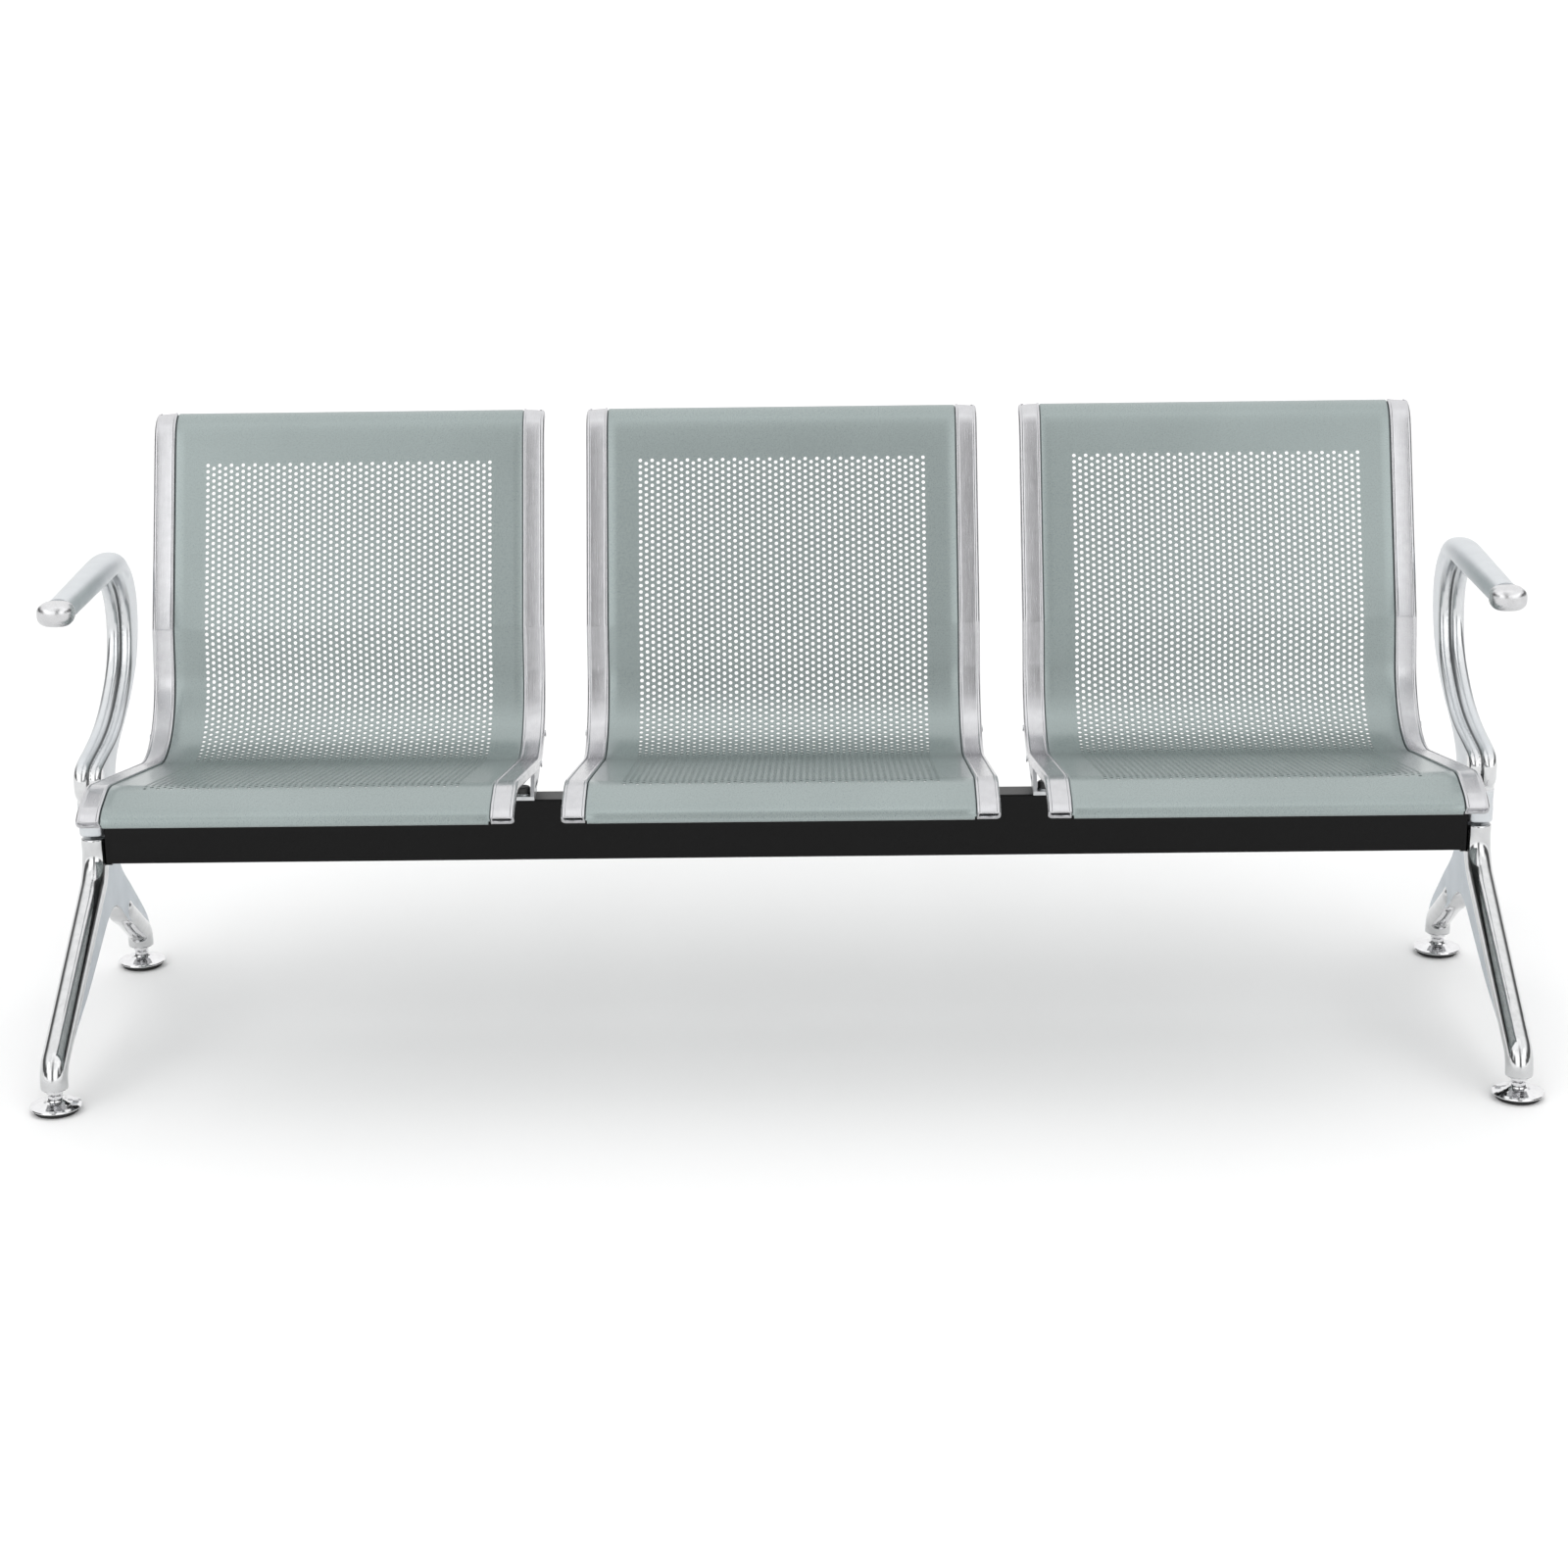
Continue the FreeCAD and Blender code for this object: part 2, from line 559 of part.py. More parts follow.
# tongue that rises into the armrest's base, towards the beam
tongue_x0, tongue_x1, tongue_y0 = xl - 5.0, -bracket_half, 326.0
tongue = box(tongue_x0, tongue_x1, tongue_y0, 392.0, 250.0, 312.0)
leg = leg.fuse(tongue)
for yy in (foot_front_y, foot_rear_y):
    leg = leg.cut(cyl((xl, yy, stub_bottom - 1), (0, 0, 1), stem_r + stem_clear, 34.0 if yy < 100 else 36.0))
for y, z, r in bolt_pts:
    leg = leg.cut(cyl((xl - 40, y, z), (1, 0, 0), r + 0.5, 80.0))
leg = leg.cut(cyl((xl - 40, bolt_pts[0][0], bolt_pts[0][1]), (1, 0, 0), 9.0, 40.0 - 3.0))
leg = leg.cut(cyl((xl - 40, arm_screw[0], arm_screw[1]), (1, 0, 0), arm_screw[2], 80.0))
# flat seat for the beam's end bracket
seat_cut = box(-bracket_half, -bracket_half + 12.0, beam_y0 - 3.4, beam_y0 + beam_depth + 3.4, beam_top - beam_height - 8.4, beam_top + 3.4)
leg = leg.cut(seat_cut)
leg = one_solid(leg)
nodes["leg_left"] = leg
nodes["leg_right"] = mirror_x(leg)

# ------------------------------------------------------------------- armrests
ax0, ax1 = xl - 18.5, xl + 16.5               # outer and inner side of the riser
ridge_x = xl + 1.0                            # groove between the two ridges
base_z = 262.5
outer_outline = [
    [(324.0, base_z), (324.0, 309.0)],
    [(324.0, 309.0), (314.5, 310.5), (308.0, 317.0), (305.0, 329.0), (306.0, 343.0), (313.5, 354.5), (330.0, 361.5), (360.0, 366.0), (419.0, 375.5),
     (470.0, 392.0), (508.0, 413.0), (538.0, 438.0), (553.0, 468.0), (557.0, 497.0), (549.0, 527.0), (524.0, 553.0), (484.0, 571.0), (440.0, arm_z0 + 2.0)],
    [(440.0, arm_z0 + 2.0), (440.0, 597.0)],
    [(440.0, 597.0), (490.0, 597.5), (532.0, 591.5), (574.0, 572.0), (603.0, 543.0), (614.0, 506.0), (608.0, 472.0), (589.0, 437.0),
     (553.0, 406.0), (492.0, 374.0), (434.0, 348.0), (406.0, 322.0), (400.0, 290.0), (398.0, base_z)],
    [(398.0, base_z), (324.0, base_z)],
]
inner_outline = [
    [(328.0, base_z), (328.0, 319.0)],
    [(328.0, 319.0), (319.0, 321.5), (312.5, 330.0), (312.3, 342.5), (319.5, 352.0), (338.0, 357.5), (366.0, 361.0), (424.0, 368.5),
     (476.0, 385.0), (515.0, 407.0), (546.0, 434.0), (562.0, 468.0), (566.0, 498.0), (557.0, 531.0), (530.0, 559.0), (488.0, 577.0), (440.0, arm_z0 + 7.0)],
    [(440.0, arm_z0 + 7.0), (440.0, 597.0)],
    list(outer_outline[3]),
    [(398.0, base_z), (328.0, base_z)],
]


def side_edges(x):
    return lambda e: abs(e.BoundBox.XMin - x) < 0.01 and abs(e.BoundBox.XMax - x) < 0.01 and (e.BoundBox.YMax - e.BoundBox.YMin) > 60 and (e.BoundBox.ZMax - e.BoundBox.ZMin) > 60


outer = plate(outer_outline, ax0, ridge_x)
outer = soften(outer, 8.5, side_edges(ax0))
outer = soften(outer, 7.5, side_edges(ridge_x))
inner = plate(inner_outline, ridge_x, ax1)
inner = soften(inner, 6.5, side_edges(ax1))
inner = soften(inner, 5.5, side_edges(ridge_x))
base = box(ax0, ax1, 311.5, 398.0, base_z, 317.0)
base = soften(base, 13.0, lambda e: abs(e.BoundBox.YMax - 311.5) < 0.01 and e.BoundBox.ZMax - e.BoundBox.ZMin > 50)
base = soften(base, 2.0, lambda e: e.BoundBox.ZMax < base_z + 0.1 and e.BoundBox.YMax < 330)
arm = outer.fuse(inner).fuse(base)
# horizontal part: narrow behind the end cap, broad at the bend, crowned on top
aw = arm_width / 2.0
axc = xl + 2.5


def arm_section(y, w, za, zb):
    h = zb - za
    sec = [(-w, 0.40), (-w + 0.14 * w, 0.12), (-w + 0.52 * w, 0.0), (w - 0.52 * w, 0.0), (w - 0.14 * w, 0.12), (w, 0.40),
           (w - 0.10 * w, 0.72), (w - 0.46 * w, 0.93), (0.0, 1.0), (-w + 0.46 * w, 0.93), (-w + 0.10 * w, 0.72)]
    c = Part.BSplineCurve()
    c.interpolate([V(axc + x, y, za + t * h) for x, t in sec], PeriodicFlag=True)
    return Part.Wire(c.toShape())


neck = arm_neck / 2.0
rows = [(224.0, neck, arm_z0 + 1.0, arm_z1), (300.0, neck + 1.1, arm_z0 + 0.5, arm_z1), (390.0, neck + 2.5, arm_z0, arm_z1),
        (450.0, aw - 0.4, arm_z0, arm_z1 - 0.2), (480.0, aw, arm_z0 - 0.2, arm_z1 - 0.9), (502.0, aw - 0.1, arm_z0 - 1.0, arm_z1 - 2.4),
        (520.0, aw - 0.5, arm_z0 - 3.0, arm_z1 - 5.2), (535.0, aw - 1.3, 566.0, 591.8), (550.0, aw - 2.6, 559.0, 584.2), (566.0, neck - 0.8, 548.0, 573.5)]
beamarm = Part.makeLoft([arm_section(*r) for r in rows], True, True)
arm = arm.fuse(beamarm)
# pocket for the leg's tongue, open below and towards the beam
arm = arm.cut(box(tongue_x0 - 0.3, ax1 + 5.0, tongue_y0 - 0.3, 392.3, 240.0, 312.3))
arm = arm.cut(cyl((ax0 - 10, bolt_pts[1][0], bolt_pts[1][1]), (1, 0, 0), 5.5, 60))
arm = arm.cut(cyl((ax0 - 10, bolt_pts[1][0], bolt_pts[1][1]), (1, 0, 0), 9.0, 10 + 6.0))
arm = arm.cut(cyl((ax0 - 10, arm_screw[0], arm_screw[1]), (1, 0, 0), 4.5, 25.0))
arm = arm.cut(cyl((ax0 - 10, arm_screw[0], arm_screw[1]), (1, 0, 0), 7.2, 10 + 5.0))
# clear of the beam's end bracket
arm = arm.cut(seat_cut)
# socket for the end cap's spigot
arm = arm.cut(cyl((axc, 223.0, 588.0), (0, 1, 0), 9.1, 21.0))
arm = one_solid(arm)
nodes["armrest_left"] = arm
nodes["armrest_right"] = mirror_x(arm)

# End cap: a rounded block, a thin ring behind it, and a spigot into the arm.
bulb = box(axc - 23.0, axc + 23.0, 186.0, 221.0, 572.5, 604.0)
bulb = soften(bulb, 13.0, lambda e: e.BoundBox.YMin < 220.5)
bulb = soften(bulb, 4.0, lambda e: e.BoundBox.YMin > 220.5)
capshape = bulb.fuse(cyl((axc, 219.0, 588.0), (0, 1, 0), 9.0, 24.0))
nodes["armrest_cap_left"] = one_solid(capshape)
ell = Part.Ellipse(V(0, 0, 0), neck + 1.6, 15.9)
ring = Part.Face(Part.Wire(ell.toShape())).extrude(V(0, 0, 3.0))
ring.Placement = FreeCAD.Placement(V(axc, 224.0, 588.2), FreeCAD.Rotation(V(1, 0, 0), 90))
ring = ring.cut(cyl((axc, 218.0, 588.0), (0, 1, 0), 9.1, 8.0))
nodes["armrest_ring_left"] = one_solid(ring)
nodes["armrest_cap_right"] = mirror_x(nodes["armrest_cap_left"])
nodes["armrest_ring_right"] = mirror_x(nodes["armrest_ring_left"])

# Bolts of the leg and armrest joint.
jb = []
y, z, r = bolt_pts[0]
lower = cyl((xl - 3.0, y, z), (1, 0, 0), r, 40.0).fuse(cyl((xl - 3.0, y, z), (-1, 0, 0), 8.0, 10.0))
lower = lower.cut(hexagon((xl - 13.5, y, z), (1, 0, 0), 8.0, 6.0))
jb.append(lower)
y, z, r = bolt_pts[1]
hx = ax0 + 6.0
upper = cyl((hx, y, z), (1, 0, 0), r, 46.0).fuse(cyl((hx, y, z), (-1, 0, 0), 8.0, 5.0))
upper = upper.cut(hexagon((hx - 5.5, y, z), (1, 0, 0), 8.0, 4.0))
jb.append(upper)
y, z, r = arm_screw
hx = ax0 + 5.0
third = cyl((hx, y, z), (1, 0, 0), r, 26.0).fuse(cyl((hx, y, z), (-1, 0, 0), 6.5, 4.0))
third = third.cut(hexagon((hx - 4.5, y, z), (1, 0, 0), 5.0, 3.5))
jb.append(third)
nodes["leg_bolts_left"] = Part.makeCompound(jb)
nodes["leg_bolts_right"] = Part.makeCompound([mirror_x(s) for s in jb])

# -------------------------------------------------------------------- glides
disc_profile = [(glide_r - 1.5, 6.0), (glide_r - 0.4, 6.7), (glide_r, 7.8), (glide_r - 0.6, 8.9), (28.0, 10.2), (21.0, 11.8), (15.0, 13.6), (12.0, 15.4), (11.2, 17.0), (6.35, 17.0), (6.35, 9.2), (9.4, 9.2), (9.4, 6.0)]
pad_profile = [(0.0, 0.0), (pad_r - 1.5, 0.0), (pad_r, 1.5), (pad_r + 0.8, 6.0), (0.0, 6.0)]
locations = (("front_left", -leg_x, foot_front_y), ("front_right", leg_x, foot_front_y), ("rear_left", -leg_x, foot_rear_y), ("rear_right", leg_x, foot_rear_y))
stem_top = stub_bottom + 30.0
for name, gx, gy in locations:
    nodes["glide_pad_" + name] = revolve_z(pad_profile, gx, gy)
    nodes["glide_disc_" + name] = revolve_z(disc_profile, gx, gy)
    # captive collar under the disc, stem, driving hexagon
    st = cyl((gx, gy, 6.35), (0, 0, 1), 9.0, 2.5)
    st = st.fuse(cyl((gx, gy, 7.0), (0, 0, 1), stem_r, stem_top - 7.0))
    st = st.fuse(hexagon((gx, gy, 17.3), (0, 0, 1), 17.0, 4.5))
    st = st.fuse(cyl((gx, gy, 17.3), (0, 0, 1), 9.2, 1.0))
    nodes["glide_stem_" + name] = one_solid(st)
    nut = hexagon((gx, gy, stub_bottom - 5.6), (0, 0, 1), 19.0, 5.0)
    ring = cyl((gx, gy, stub_bottom - 0.6), (0, 0, 1), 12.0, 0.6)
    nut = nut.fuse(ring).cut(cyl((gx, gy, 20.0), (0, 0, 1), stem_r + stem_clear, 15.0))
    nodes["glide_nut_" + name] = one_solid(nut)

# ------------------------------------------------ origin and export
lo = V(1e9, 1e9, 1e9)
hi = V(-1e9, -1e9, -1e9)
for s in nodes.values():
    bb = s.optimalBoundingBox(True, False)
    lo = V(min(lo.x, bb.XMin), min(lo.y, bb.YMin), min(lo.z, bb.ZMin))
    hi = V(max(hi.x, bb.XMax), max(hi.y, bb.YMax), max(hi.z, bb.ZMax))
shift = V(-(lo.x + hi.x) / 2.0, -(lo.y + hi.y) / 2.0, -lo.z)
print("size", [round(v, 2) for v in (hi - lo)], "shift", [round(v, 3) for v in shift])
os.makedirs("parts", exist_ok=True)
for name, s in nodes.items():
    s = s.copy()
    s.translate(shift)
    sol = s.Solids
    if not s.isValid():
        print("not valid:", name)
    s.exportStep("parts/%s.step" % name)
print(len(nodes), "nodes")
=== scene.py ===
import json
import math

import bmesh
import bpy
import numpy as np
from mathutils import Matrix, Vector
from mathutils.geometry import tessellate_polygon


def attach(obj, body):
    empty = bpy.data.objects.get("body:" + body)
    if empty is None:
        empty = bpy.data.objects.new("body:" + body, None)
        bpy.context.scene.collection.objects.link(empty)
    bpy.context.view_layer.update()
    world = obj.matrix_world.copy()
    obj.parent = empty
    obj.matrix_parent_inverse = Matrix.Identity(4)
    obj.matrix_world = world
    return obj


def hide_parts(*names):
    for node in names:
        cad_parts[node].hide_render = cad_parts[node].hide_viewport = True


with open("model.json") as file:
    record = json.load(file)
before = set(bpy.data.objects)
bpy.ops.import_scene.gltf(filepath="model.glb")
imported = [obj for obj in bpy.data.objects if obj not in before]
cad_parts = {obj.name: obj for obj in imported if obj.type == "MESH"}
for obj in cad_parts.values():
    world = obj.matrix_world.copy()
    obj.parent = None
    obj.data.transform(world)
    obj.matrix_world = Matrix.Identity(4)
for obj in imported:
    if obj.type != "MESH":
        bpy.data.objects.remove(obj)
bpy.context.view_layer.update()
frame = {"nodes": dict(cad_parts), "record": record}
nodes = frame["nodes"]

MM = 0.001
Y0 = -315.732          # the CAD's shift along Y, in mm

# ------------------------------------------------------------------ materials


class Mat:
    """A node material with a few helpers."""

    def __init__(self, name):
        self.m = bpy.data.materials.new(name)
        self.m.use_nodes = True
        self.t = self.m.node_tree
        self.t.nodes.clear()
        self.out = self.t.nodes.new("ShaderNodeOutputMaterial")
        self.b = self.t.nodes.new("ShaderNodeBsdfPrincipled")
        self.link(self.b, "BSDF", self.out, "Surface")
        self.co = self.t.nodes.new("ShaderNodeTexCoord")

    def node(self, kind, **inputs):
        n = self.t.nodes.new(kind)
        for k, v in inputs.items():
            k2 = k.replace("_", " ")
            if k2 in n.inputs:
                n.inputs[k2].default_value = v
            else:
                setattr(n, k, v)
        return n

    def link(self, a, sa, b, sb):
        self.t.links.new(a.outputs[sa], b.inputs[sb])

    def set(self, **kw):
        for k, v in kw.items():
            self.b.inputs[k.replace("_", " ")].default_value = v
        return self

    def noise(self, scale, detail=2.0, rough=0.5, stretch=None):
        n = self.node("ShaderNodeTexNoise", Scale=scale, Detail=detail, Roughness=rough)
        if stretch:
            mp = self.node("ShaderNodeMapping")
            mp.inputs["Scale"].default_value = stretch
            self.link(self.co, "Object", mp, "Vector")
            self.link(mp, "Vector", n, "Vector")
        else:
            self.link(self.co, "Object", n, "Vector")
        return n

    def ramp(self, src, sock, stops):
        r = self.t.nodes.new("ShaderNodeValToRGB")
        e = r.color_ramp.elements
        while len(e) > 1:
            e.remove(e[-1])
        e[0].position, e[0].color = stops[0][0], stops[0][1]
        for p, c in stops[1:]:
            el = e.new(p)
            el.color = c
        self.link(src, sock, r, "Fac")
        return r

    def rng(self, src, sock, a, b, lo=0.3, hi=0.7):
        r = self.node("ShaderNodeMapRange")
        r.inputs["From Min"].default_value = lo
        r.inputs["From Max"].default_value = hi
        r.inputs["To Min"].default_value = a
        r.inputs["To Max"].default_value = b
        self.link(src, sock, r, "Value")
        return r

    def bump(self, sources):
        """Chain of bumps from (node, socket, strength, distance)."""
        last = None
        for n, s, strength, dist in sources:
            b = self.node("ShaderNodeBump", Strength=strength, Distance=dist)
            self.link(n, s, b, "Height")
            if last is not None:
                self.link(last, "Normal", b, "Normal")
            last = b
        self.link(last, "Normal", self.b, "Normal")
        return last


def g(v, a=1.0):
    return (v, v, v, a)


def powder(name, col, dark, rough=(0.25, 0.32)):
    """Fine metallic powder coat under a thin gloss film that mirrors at a low
    angle."""
    m = Mat(name)
    n1 = m.noise(1400.0, 2.0)
    n2 = m.noise(7.0, 3.0)
    n3 = m.noise(240.0, 2.0)
    r = m.ramp(n2, "Fac", [(0.35, (*dark, 1)), (0.65, (*col, 1))])
    m.link(r, "Color", m.b, "Base Color")
    rr = m.rng(n1, "Fac", rough[0], rough[1])
    m.link(rr, "Result", m.b, "Roughness")
    m.set(Metallic=0.52, Specular_IOR_Level=0.3, Coat_Weight=0.15, Coat_Roughness=0.10)
    m.bump([(n3, "Fac", 0.05, 0.0004), (n1, "Fac", 0.05, 0.0001)])
    return m.m


def metal(name, col, dark, rough, wobble=0.25, grain=0.05, scratch=0.35, stretch=(1.0, 1.0, 1.0)):
    """Cast or rolled metal: slow waviness, fine polishing lines, darker mottling at random."""
    m = Mat(name)
    slow = m.noise(22.0, 2.0)
    mid = m.noise(90.0, 3.0)
    line = m.noise(700.0, 3.0, 0.6, stretch)
    r = m.ramp(mid, "Fac", [(0.30, (*dark, 1)), (0.62, (*col, 1))])
    m.link(r, "Color", m.b, "Base Color")
    rr = m.rng(line, "Fac", rough[0], rough[1])
    m.link(rr, "Result", m.b, "Roughness")
    m.set(Metallic=1.0)
    m.bump([(slow, "Fac", wobble, 0.0030), (mid, "Fac", grain, 0.0005), (line, "Fac", scratch, 0.00004)])
    return m


ALONG = (1.0, 0.04, 0.04)          # streaks along the side view's lines
seat_paint = powder("seat_powder_coat", (0.303, 0.350, 0.346), (0.289, 0.334, 0.330))
frame_cast = metal("frame_polished_casting", (0.55, 0.55, 0.565), (0.52, 0.52, 0.535), (0.21, 0.28), 0.05, 0.0, 0.5, ALONG).m
bracket_cast = metal("bracket_satin_casting", (0.60, 0.61, 0.62), (0.52, 0.53, 0.54), (0.30, 0.44), 0.1, 0.10).m
steel = metal("zinc_plated_steel", (0.66, 0.67, 0.68), (0.55, 0.56, 0.58), (0.20, 0.32), 0.05, 0.05).m
chrome = metal("chromed_disc", (0.74, 0.74, 0.75), (0.68, 0.68, 0.69), (0.05, 0.10), 0.02, 0.0, 0.1).m
polished = metal("polished_end_cap", (0.62, 0.62, 0.63), (0.57, 0.57, 0.58), (0.22, 0.30), 0.03, 0.0, 0.15).m


def two_finish(m, fac, low, high, rough, metallic):
    """Mix the polished shader of m with a satin one by fac."""
    old = m.b
    satin = m.t.nodes.new("ShaderNodeBsdfPrincipled")
    fine = m.noise(2600.0, 2.0)
    n2 = m.noise(30.0, 3.0)
    r = m.ramp(n2, "Fac", [(0.3, low), (0.7, high)])
    m.link(r, "Color", satin, "Base Color")
    rr = m.rng(fine, "Fac", rough[0], rough[1])
    m.link(rr, "Result", satin, "Roughness")
    satin.inputs["Metallic"].default_value = metallic
    bp = m.node("ShaderNodeBump", Strength=0.08, Distance=0.0001)
    m.link(fine, "Fac", bp, "Height")
    m.link(bp, "Normal", satin, "Normal")
    mix = m.node("ShaderNodeMixShader")
    m.link(fac, "Result", mix, 0)
    m.t.links.new(old.outputs["BSDF"], mix.inputs[1])
    m.t.links.new(satin.outputs["BSDF"], mix.inputs[2])
    m.link(mix, "Shader", m.out, "Surface")
    return m.m


def flat_sides(m, lo=0.84, hi=0.95):
    """1 on the castings' flat sides, which face along X, 0 elsewhere."""
    sep = m.node("ShaderNodeSeparateXYZ")
    m.link(m.co, "Normal", sep, "Vector")
    ab = m.node("ShaderNodeMath", operation="ABSOLUTE")
    m.link(sep, "X", ab, 0)
    return m.rng(ab, "Value", 0.0, 1.0, lo, hi)


def product(m, a, b):
    n = m.node("ShaderNodeMath", operation="MULTIPLY")
    m.link(a, "Result", n, 0)
    m.link(b, "Result", n, 1)
    return n


def cast_leg(name, plane, half_web):
    """Mirror-polished spines; the flat sides of the web, between them, are
    satin."""
    m = metal(name, (0.62, 0.625, 0.63), (0.56, 0.565, 0.57), (0.07, 0.13), 0.08, 0.0, 0.5, ALONG)
    sep = m.node("ShaderNodeSeparateXYZ")
    m.link(m.co, "Object", sep, "Vector")
    ab = m.node("ShaderNodeMath", operation="ABSOLUTE")
    m.link(sep, "X", ab, 0)
    sub = m.node("ShaderNodeMath", operation="SUBTRACT")
    m.link(ab, "Value", sub, 0)
    sub.inputs[1].default_value = plane
    ab2 = m.node("ShaderNodeMath", operation="ABSOLUTE")
    m.link(sub, "Value", ab2, 0)
    near = m.rng(ab2, "Value", 1.0, 0.0, half_web + 0.0006, half_web + 0.0018)
    both = product(m, near, flat_sides(m))
    fac = m.rng(both, "Value", 0.0, 1.0, 0.0, 1.0)
    return two_finish(m, fac, (0.56, 0.60, 0.635, 1), (0.61, 0.65, 0.685, 1), (0.40, 0.56), 0.80)


leg_metal = cast_leg("leg_polished_casting", 0.905, 0.012)


def arm_finish(name):
    """Satin casting whose two knobs, low on the riser's front, are polished;
    the groove between its ridges and the crease beside them get painted shade."""
    m = metal(name, (0.68, 0.685, 0.69), (0.62, 0.625, 0.63), (0.08, 0.14), 0.05, 0.0, 0.4, ALONG)
    sep = m.node("ShaderNodeSeparateXYZ")
    m.link(m.co, "Object", sep, "Vector")
    up = m.rng(sep, "Z", 0.0, 1.0, 0.303, 0.309)
    down = m.rng(sep, "Z", 1.0, 0.0, 0.349, 0.361)
    fore = m.rng(sep, "Y", 1.0, 0.0, 0.012, 0.024)
    knob = product(m, up, down)
    knob2 = m.node("ShaderNodeMath", operation="MULTIPLY")
    m.link(knob, "Value", knob2, 0)
    m.link(fore, "Result", knob2, 1)
    # half polished where the riser bows out
    belly = product(m, m.rng(sep, "Z", 0.0, 1.0, 0.370, 0.430), m.rng(sep, "Z", 1.0, 0.0, 0.520, 0.555))
    round_part = m.node("ShaderNodeMath", operation="SUBTRACT")
    round_part.inputs[0].default_value = 1.0
    m.link(flat_sides(m), "Result", round_part, 1)
    half = m.node("ShaderNodeMath", operation="MULTIPLY")
    m.link(belly, "Value", half, 0)
    m.link(round_part, "Value", half, 1)
    half2 = m.node("ShaderNodeMath", operation="MULTIPLY")
    m.link(half, "Value", half2, 0)
    half2.inputs[1].default_value = 0.6
    bright = m.node("ShaderNodeMath", operation="MAXIMUM")
    m.link(knob2, "Value", bright, 0)
    m.link(half2, "Value", bright, 1)
    fac = m.rng(bright, "Value", 1.0, 0.0, 0.0, 1.0)
    two_finish(m, fac, (0.575, 0.60, 0.62, 1), (0.625, 0.65, 0.67, 1), (0.28, 0.40), 0.92)
    # painted shade in the groove between the ridges
    ab = m.node("ShaderNodeMath", operation="ABSOLUTE")
    m.link(sep, "X", ab, 0)
    sub = m.node("ShaderNodeMath", operation="SUBTRACT")
    m.link(ab, "Value", sub, 0)
    sub.inputs[1].default_value = 0.904
    ab2 = m.node("ShaderNodeMath", operation="ABSOLUTE")
    m.link(sub, "Value", ab2, 0)
    near = m.rng(ab2, "Value", 1.0, 0.0, 0.0005, 0.0016)
    riser = m.rng(sep, "Z", 1.0, 0.0, 0.545, 0.560)
    groove = m.node("ShaderNodeMath", operation="MULTIPLY")
    m.link(near, "Result", groove, 0)
    m.link(riser, "Result", groove, 1)
    g2 = m.node("ShaderNodeMath", operation="MULTIPLY")
    m.link(groove, "Value", g2, 0)
    m.link(up, "Result", g2, 1)
    # painted shade along the crease beside the inner ridge, fading upwards
    seen = flat_sides(m, 0.80, 0.92)
    flat = flat_sides(m, 0.975, 0.995)
    curve = m.node("ShaderNodeMath", operation="SUBTRACT")
    m.link(seen, "Result", curve, 0)
    m.link(flat, "Result", curve, 1)
    inner = m.rng(ab, "Value", 1.0, 0.0, 0.892, 0.894)
    fade = m.rng(sep, "Z", 1.0, 0.0, 0.350, 0.440)
    c2 = product(m, inner, fade)
    c3 = m.node("ShaderNodeMath", operation="MULTIPLY")
    m.link(curve, "Value", c3, 0)
    m.link(c2, "Value", c3, 1)
    both = m.node("ShaderNodeMath", operation="MAXIMUM")
    m.link(g2, "Value", both, 0)
    m.link(c3, "Value", both, 1)
    painted_shade_amount = m.rng(both, "Value", 0.0, 0.85, 0.0, 1.0)
    # painted shade: a near-black shader mixed over the groove and the crease
    painted_shade = m.t.nodes.new("ShaderNodeBsdfPrincipled")
    n4 = m.noise(800.0, 2.0)
    r4 = m.ramp(n4, "Fac", [(0.3, (0.030, 0.032, 0.034, 1)), (0.7, (0.050, 0.052, 0.054, 1))])
    m.link(r4, "Color", painted_shade, "Base Color")
    painted_shade.inputs["Roughness"].default_value = 0.55
    under = m.out.inputs["Surface"].links[0].from_socket
    mix = m.node("ShaderNodeMixShader")
    m.link(painted_shade_amount, "Result", mix, 0)
    m.t.links.new(under, mix.inputs[1])
    m.t.links.new(painted_shade.outputs["BSDF"], mix.inputs[2])
    m.link(mix, "Shader", m.out, "Surface")
    return m.m


arm_metal = arm_finish("armrest_polished_casting")


def coated_black(name, col, rough, bump=0.12, coat=0.0):
    m = Mat(name)
    n1 = m.noise(900.0, 2.0)
    n2 = m.noise(6.0, 3.0)
    hi = tuple(c * 1.5 for c in col)
    r = m.ramp(n2, "Fac", [(0.35, (*col, 1)), (0.65, (*hi, 1))])
    m.link(r, "Color", m.b, "Base Color")
    rr = m.rng(n1, "Fac", rough[0], rough[1])
    m.link(rr, "Result", m.b, "Roughness")
    m.set(Coat_Weight=coat, Coat_Roughness=0.12)
    m.bump([(n1, "Fac", bump, 0.0004)])
    return m.m


beam_paint = coated_black("beam_black_coat", (0.0012, 0.0012, 0.0013), (0.26, 0.36), 0.06)
for nd in beam_paint.node_tree.nodes:
    if nd.type == "BSDF_PRINCIPLED":
        nd.inputs["IOR"].default_value = 1.27
plastic = coated_black("black_moulded_plastic", (0.014, 0.014, 0.014), (0.38, 0.52), 0.2)
rubber = coated_black("black_rubber", (0.012, 0.012, 0.012), (0.68, 0.82), 0.5)

by_slot = {
    "seat_coat": seat_paint,
    "frame_metal": frame_cast,
    "bracket_metal": bracket_cast,
    "leg_metal": leg_metal,
    "arm_metal": arm_metal,
    "beam_paint": beam_paint,
    "plated_steel": steel,
    "chrome_plate": chrome,
    "black_plastic": plastic,
    "black_rubber": rubber,
}
slot_of = {s["node"]: s["material_slot"] for s in frame["record"]["subparts"]}
for name, o in nodes.items():
    mat = by_slot[slot_of[name]]
    if not o.material_slots:
        continue
    for s in o.material_slots:
        s.link = "OBJECT"
        s.material = mat

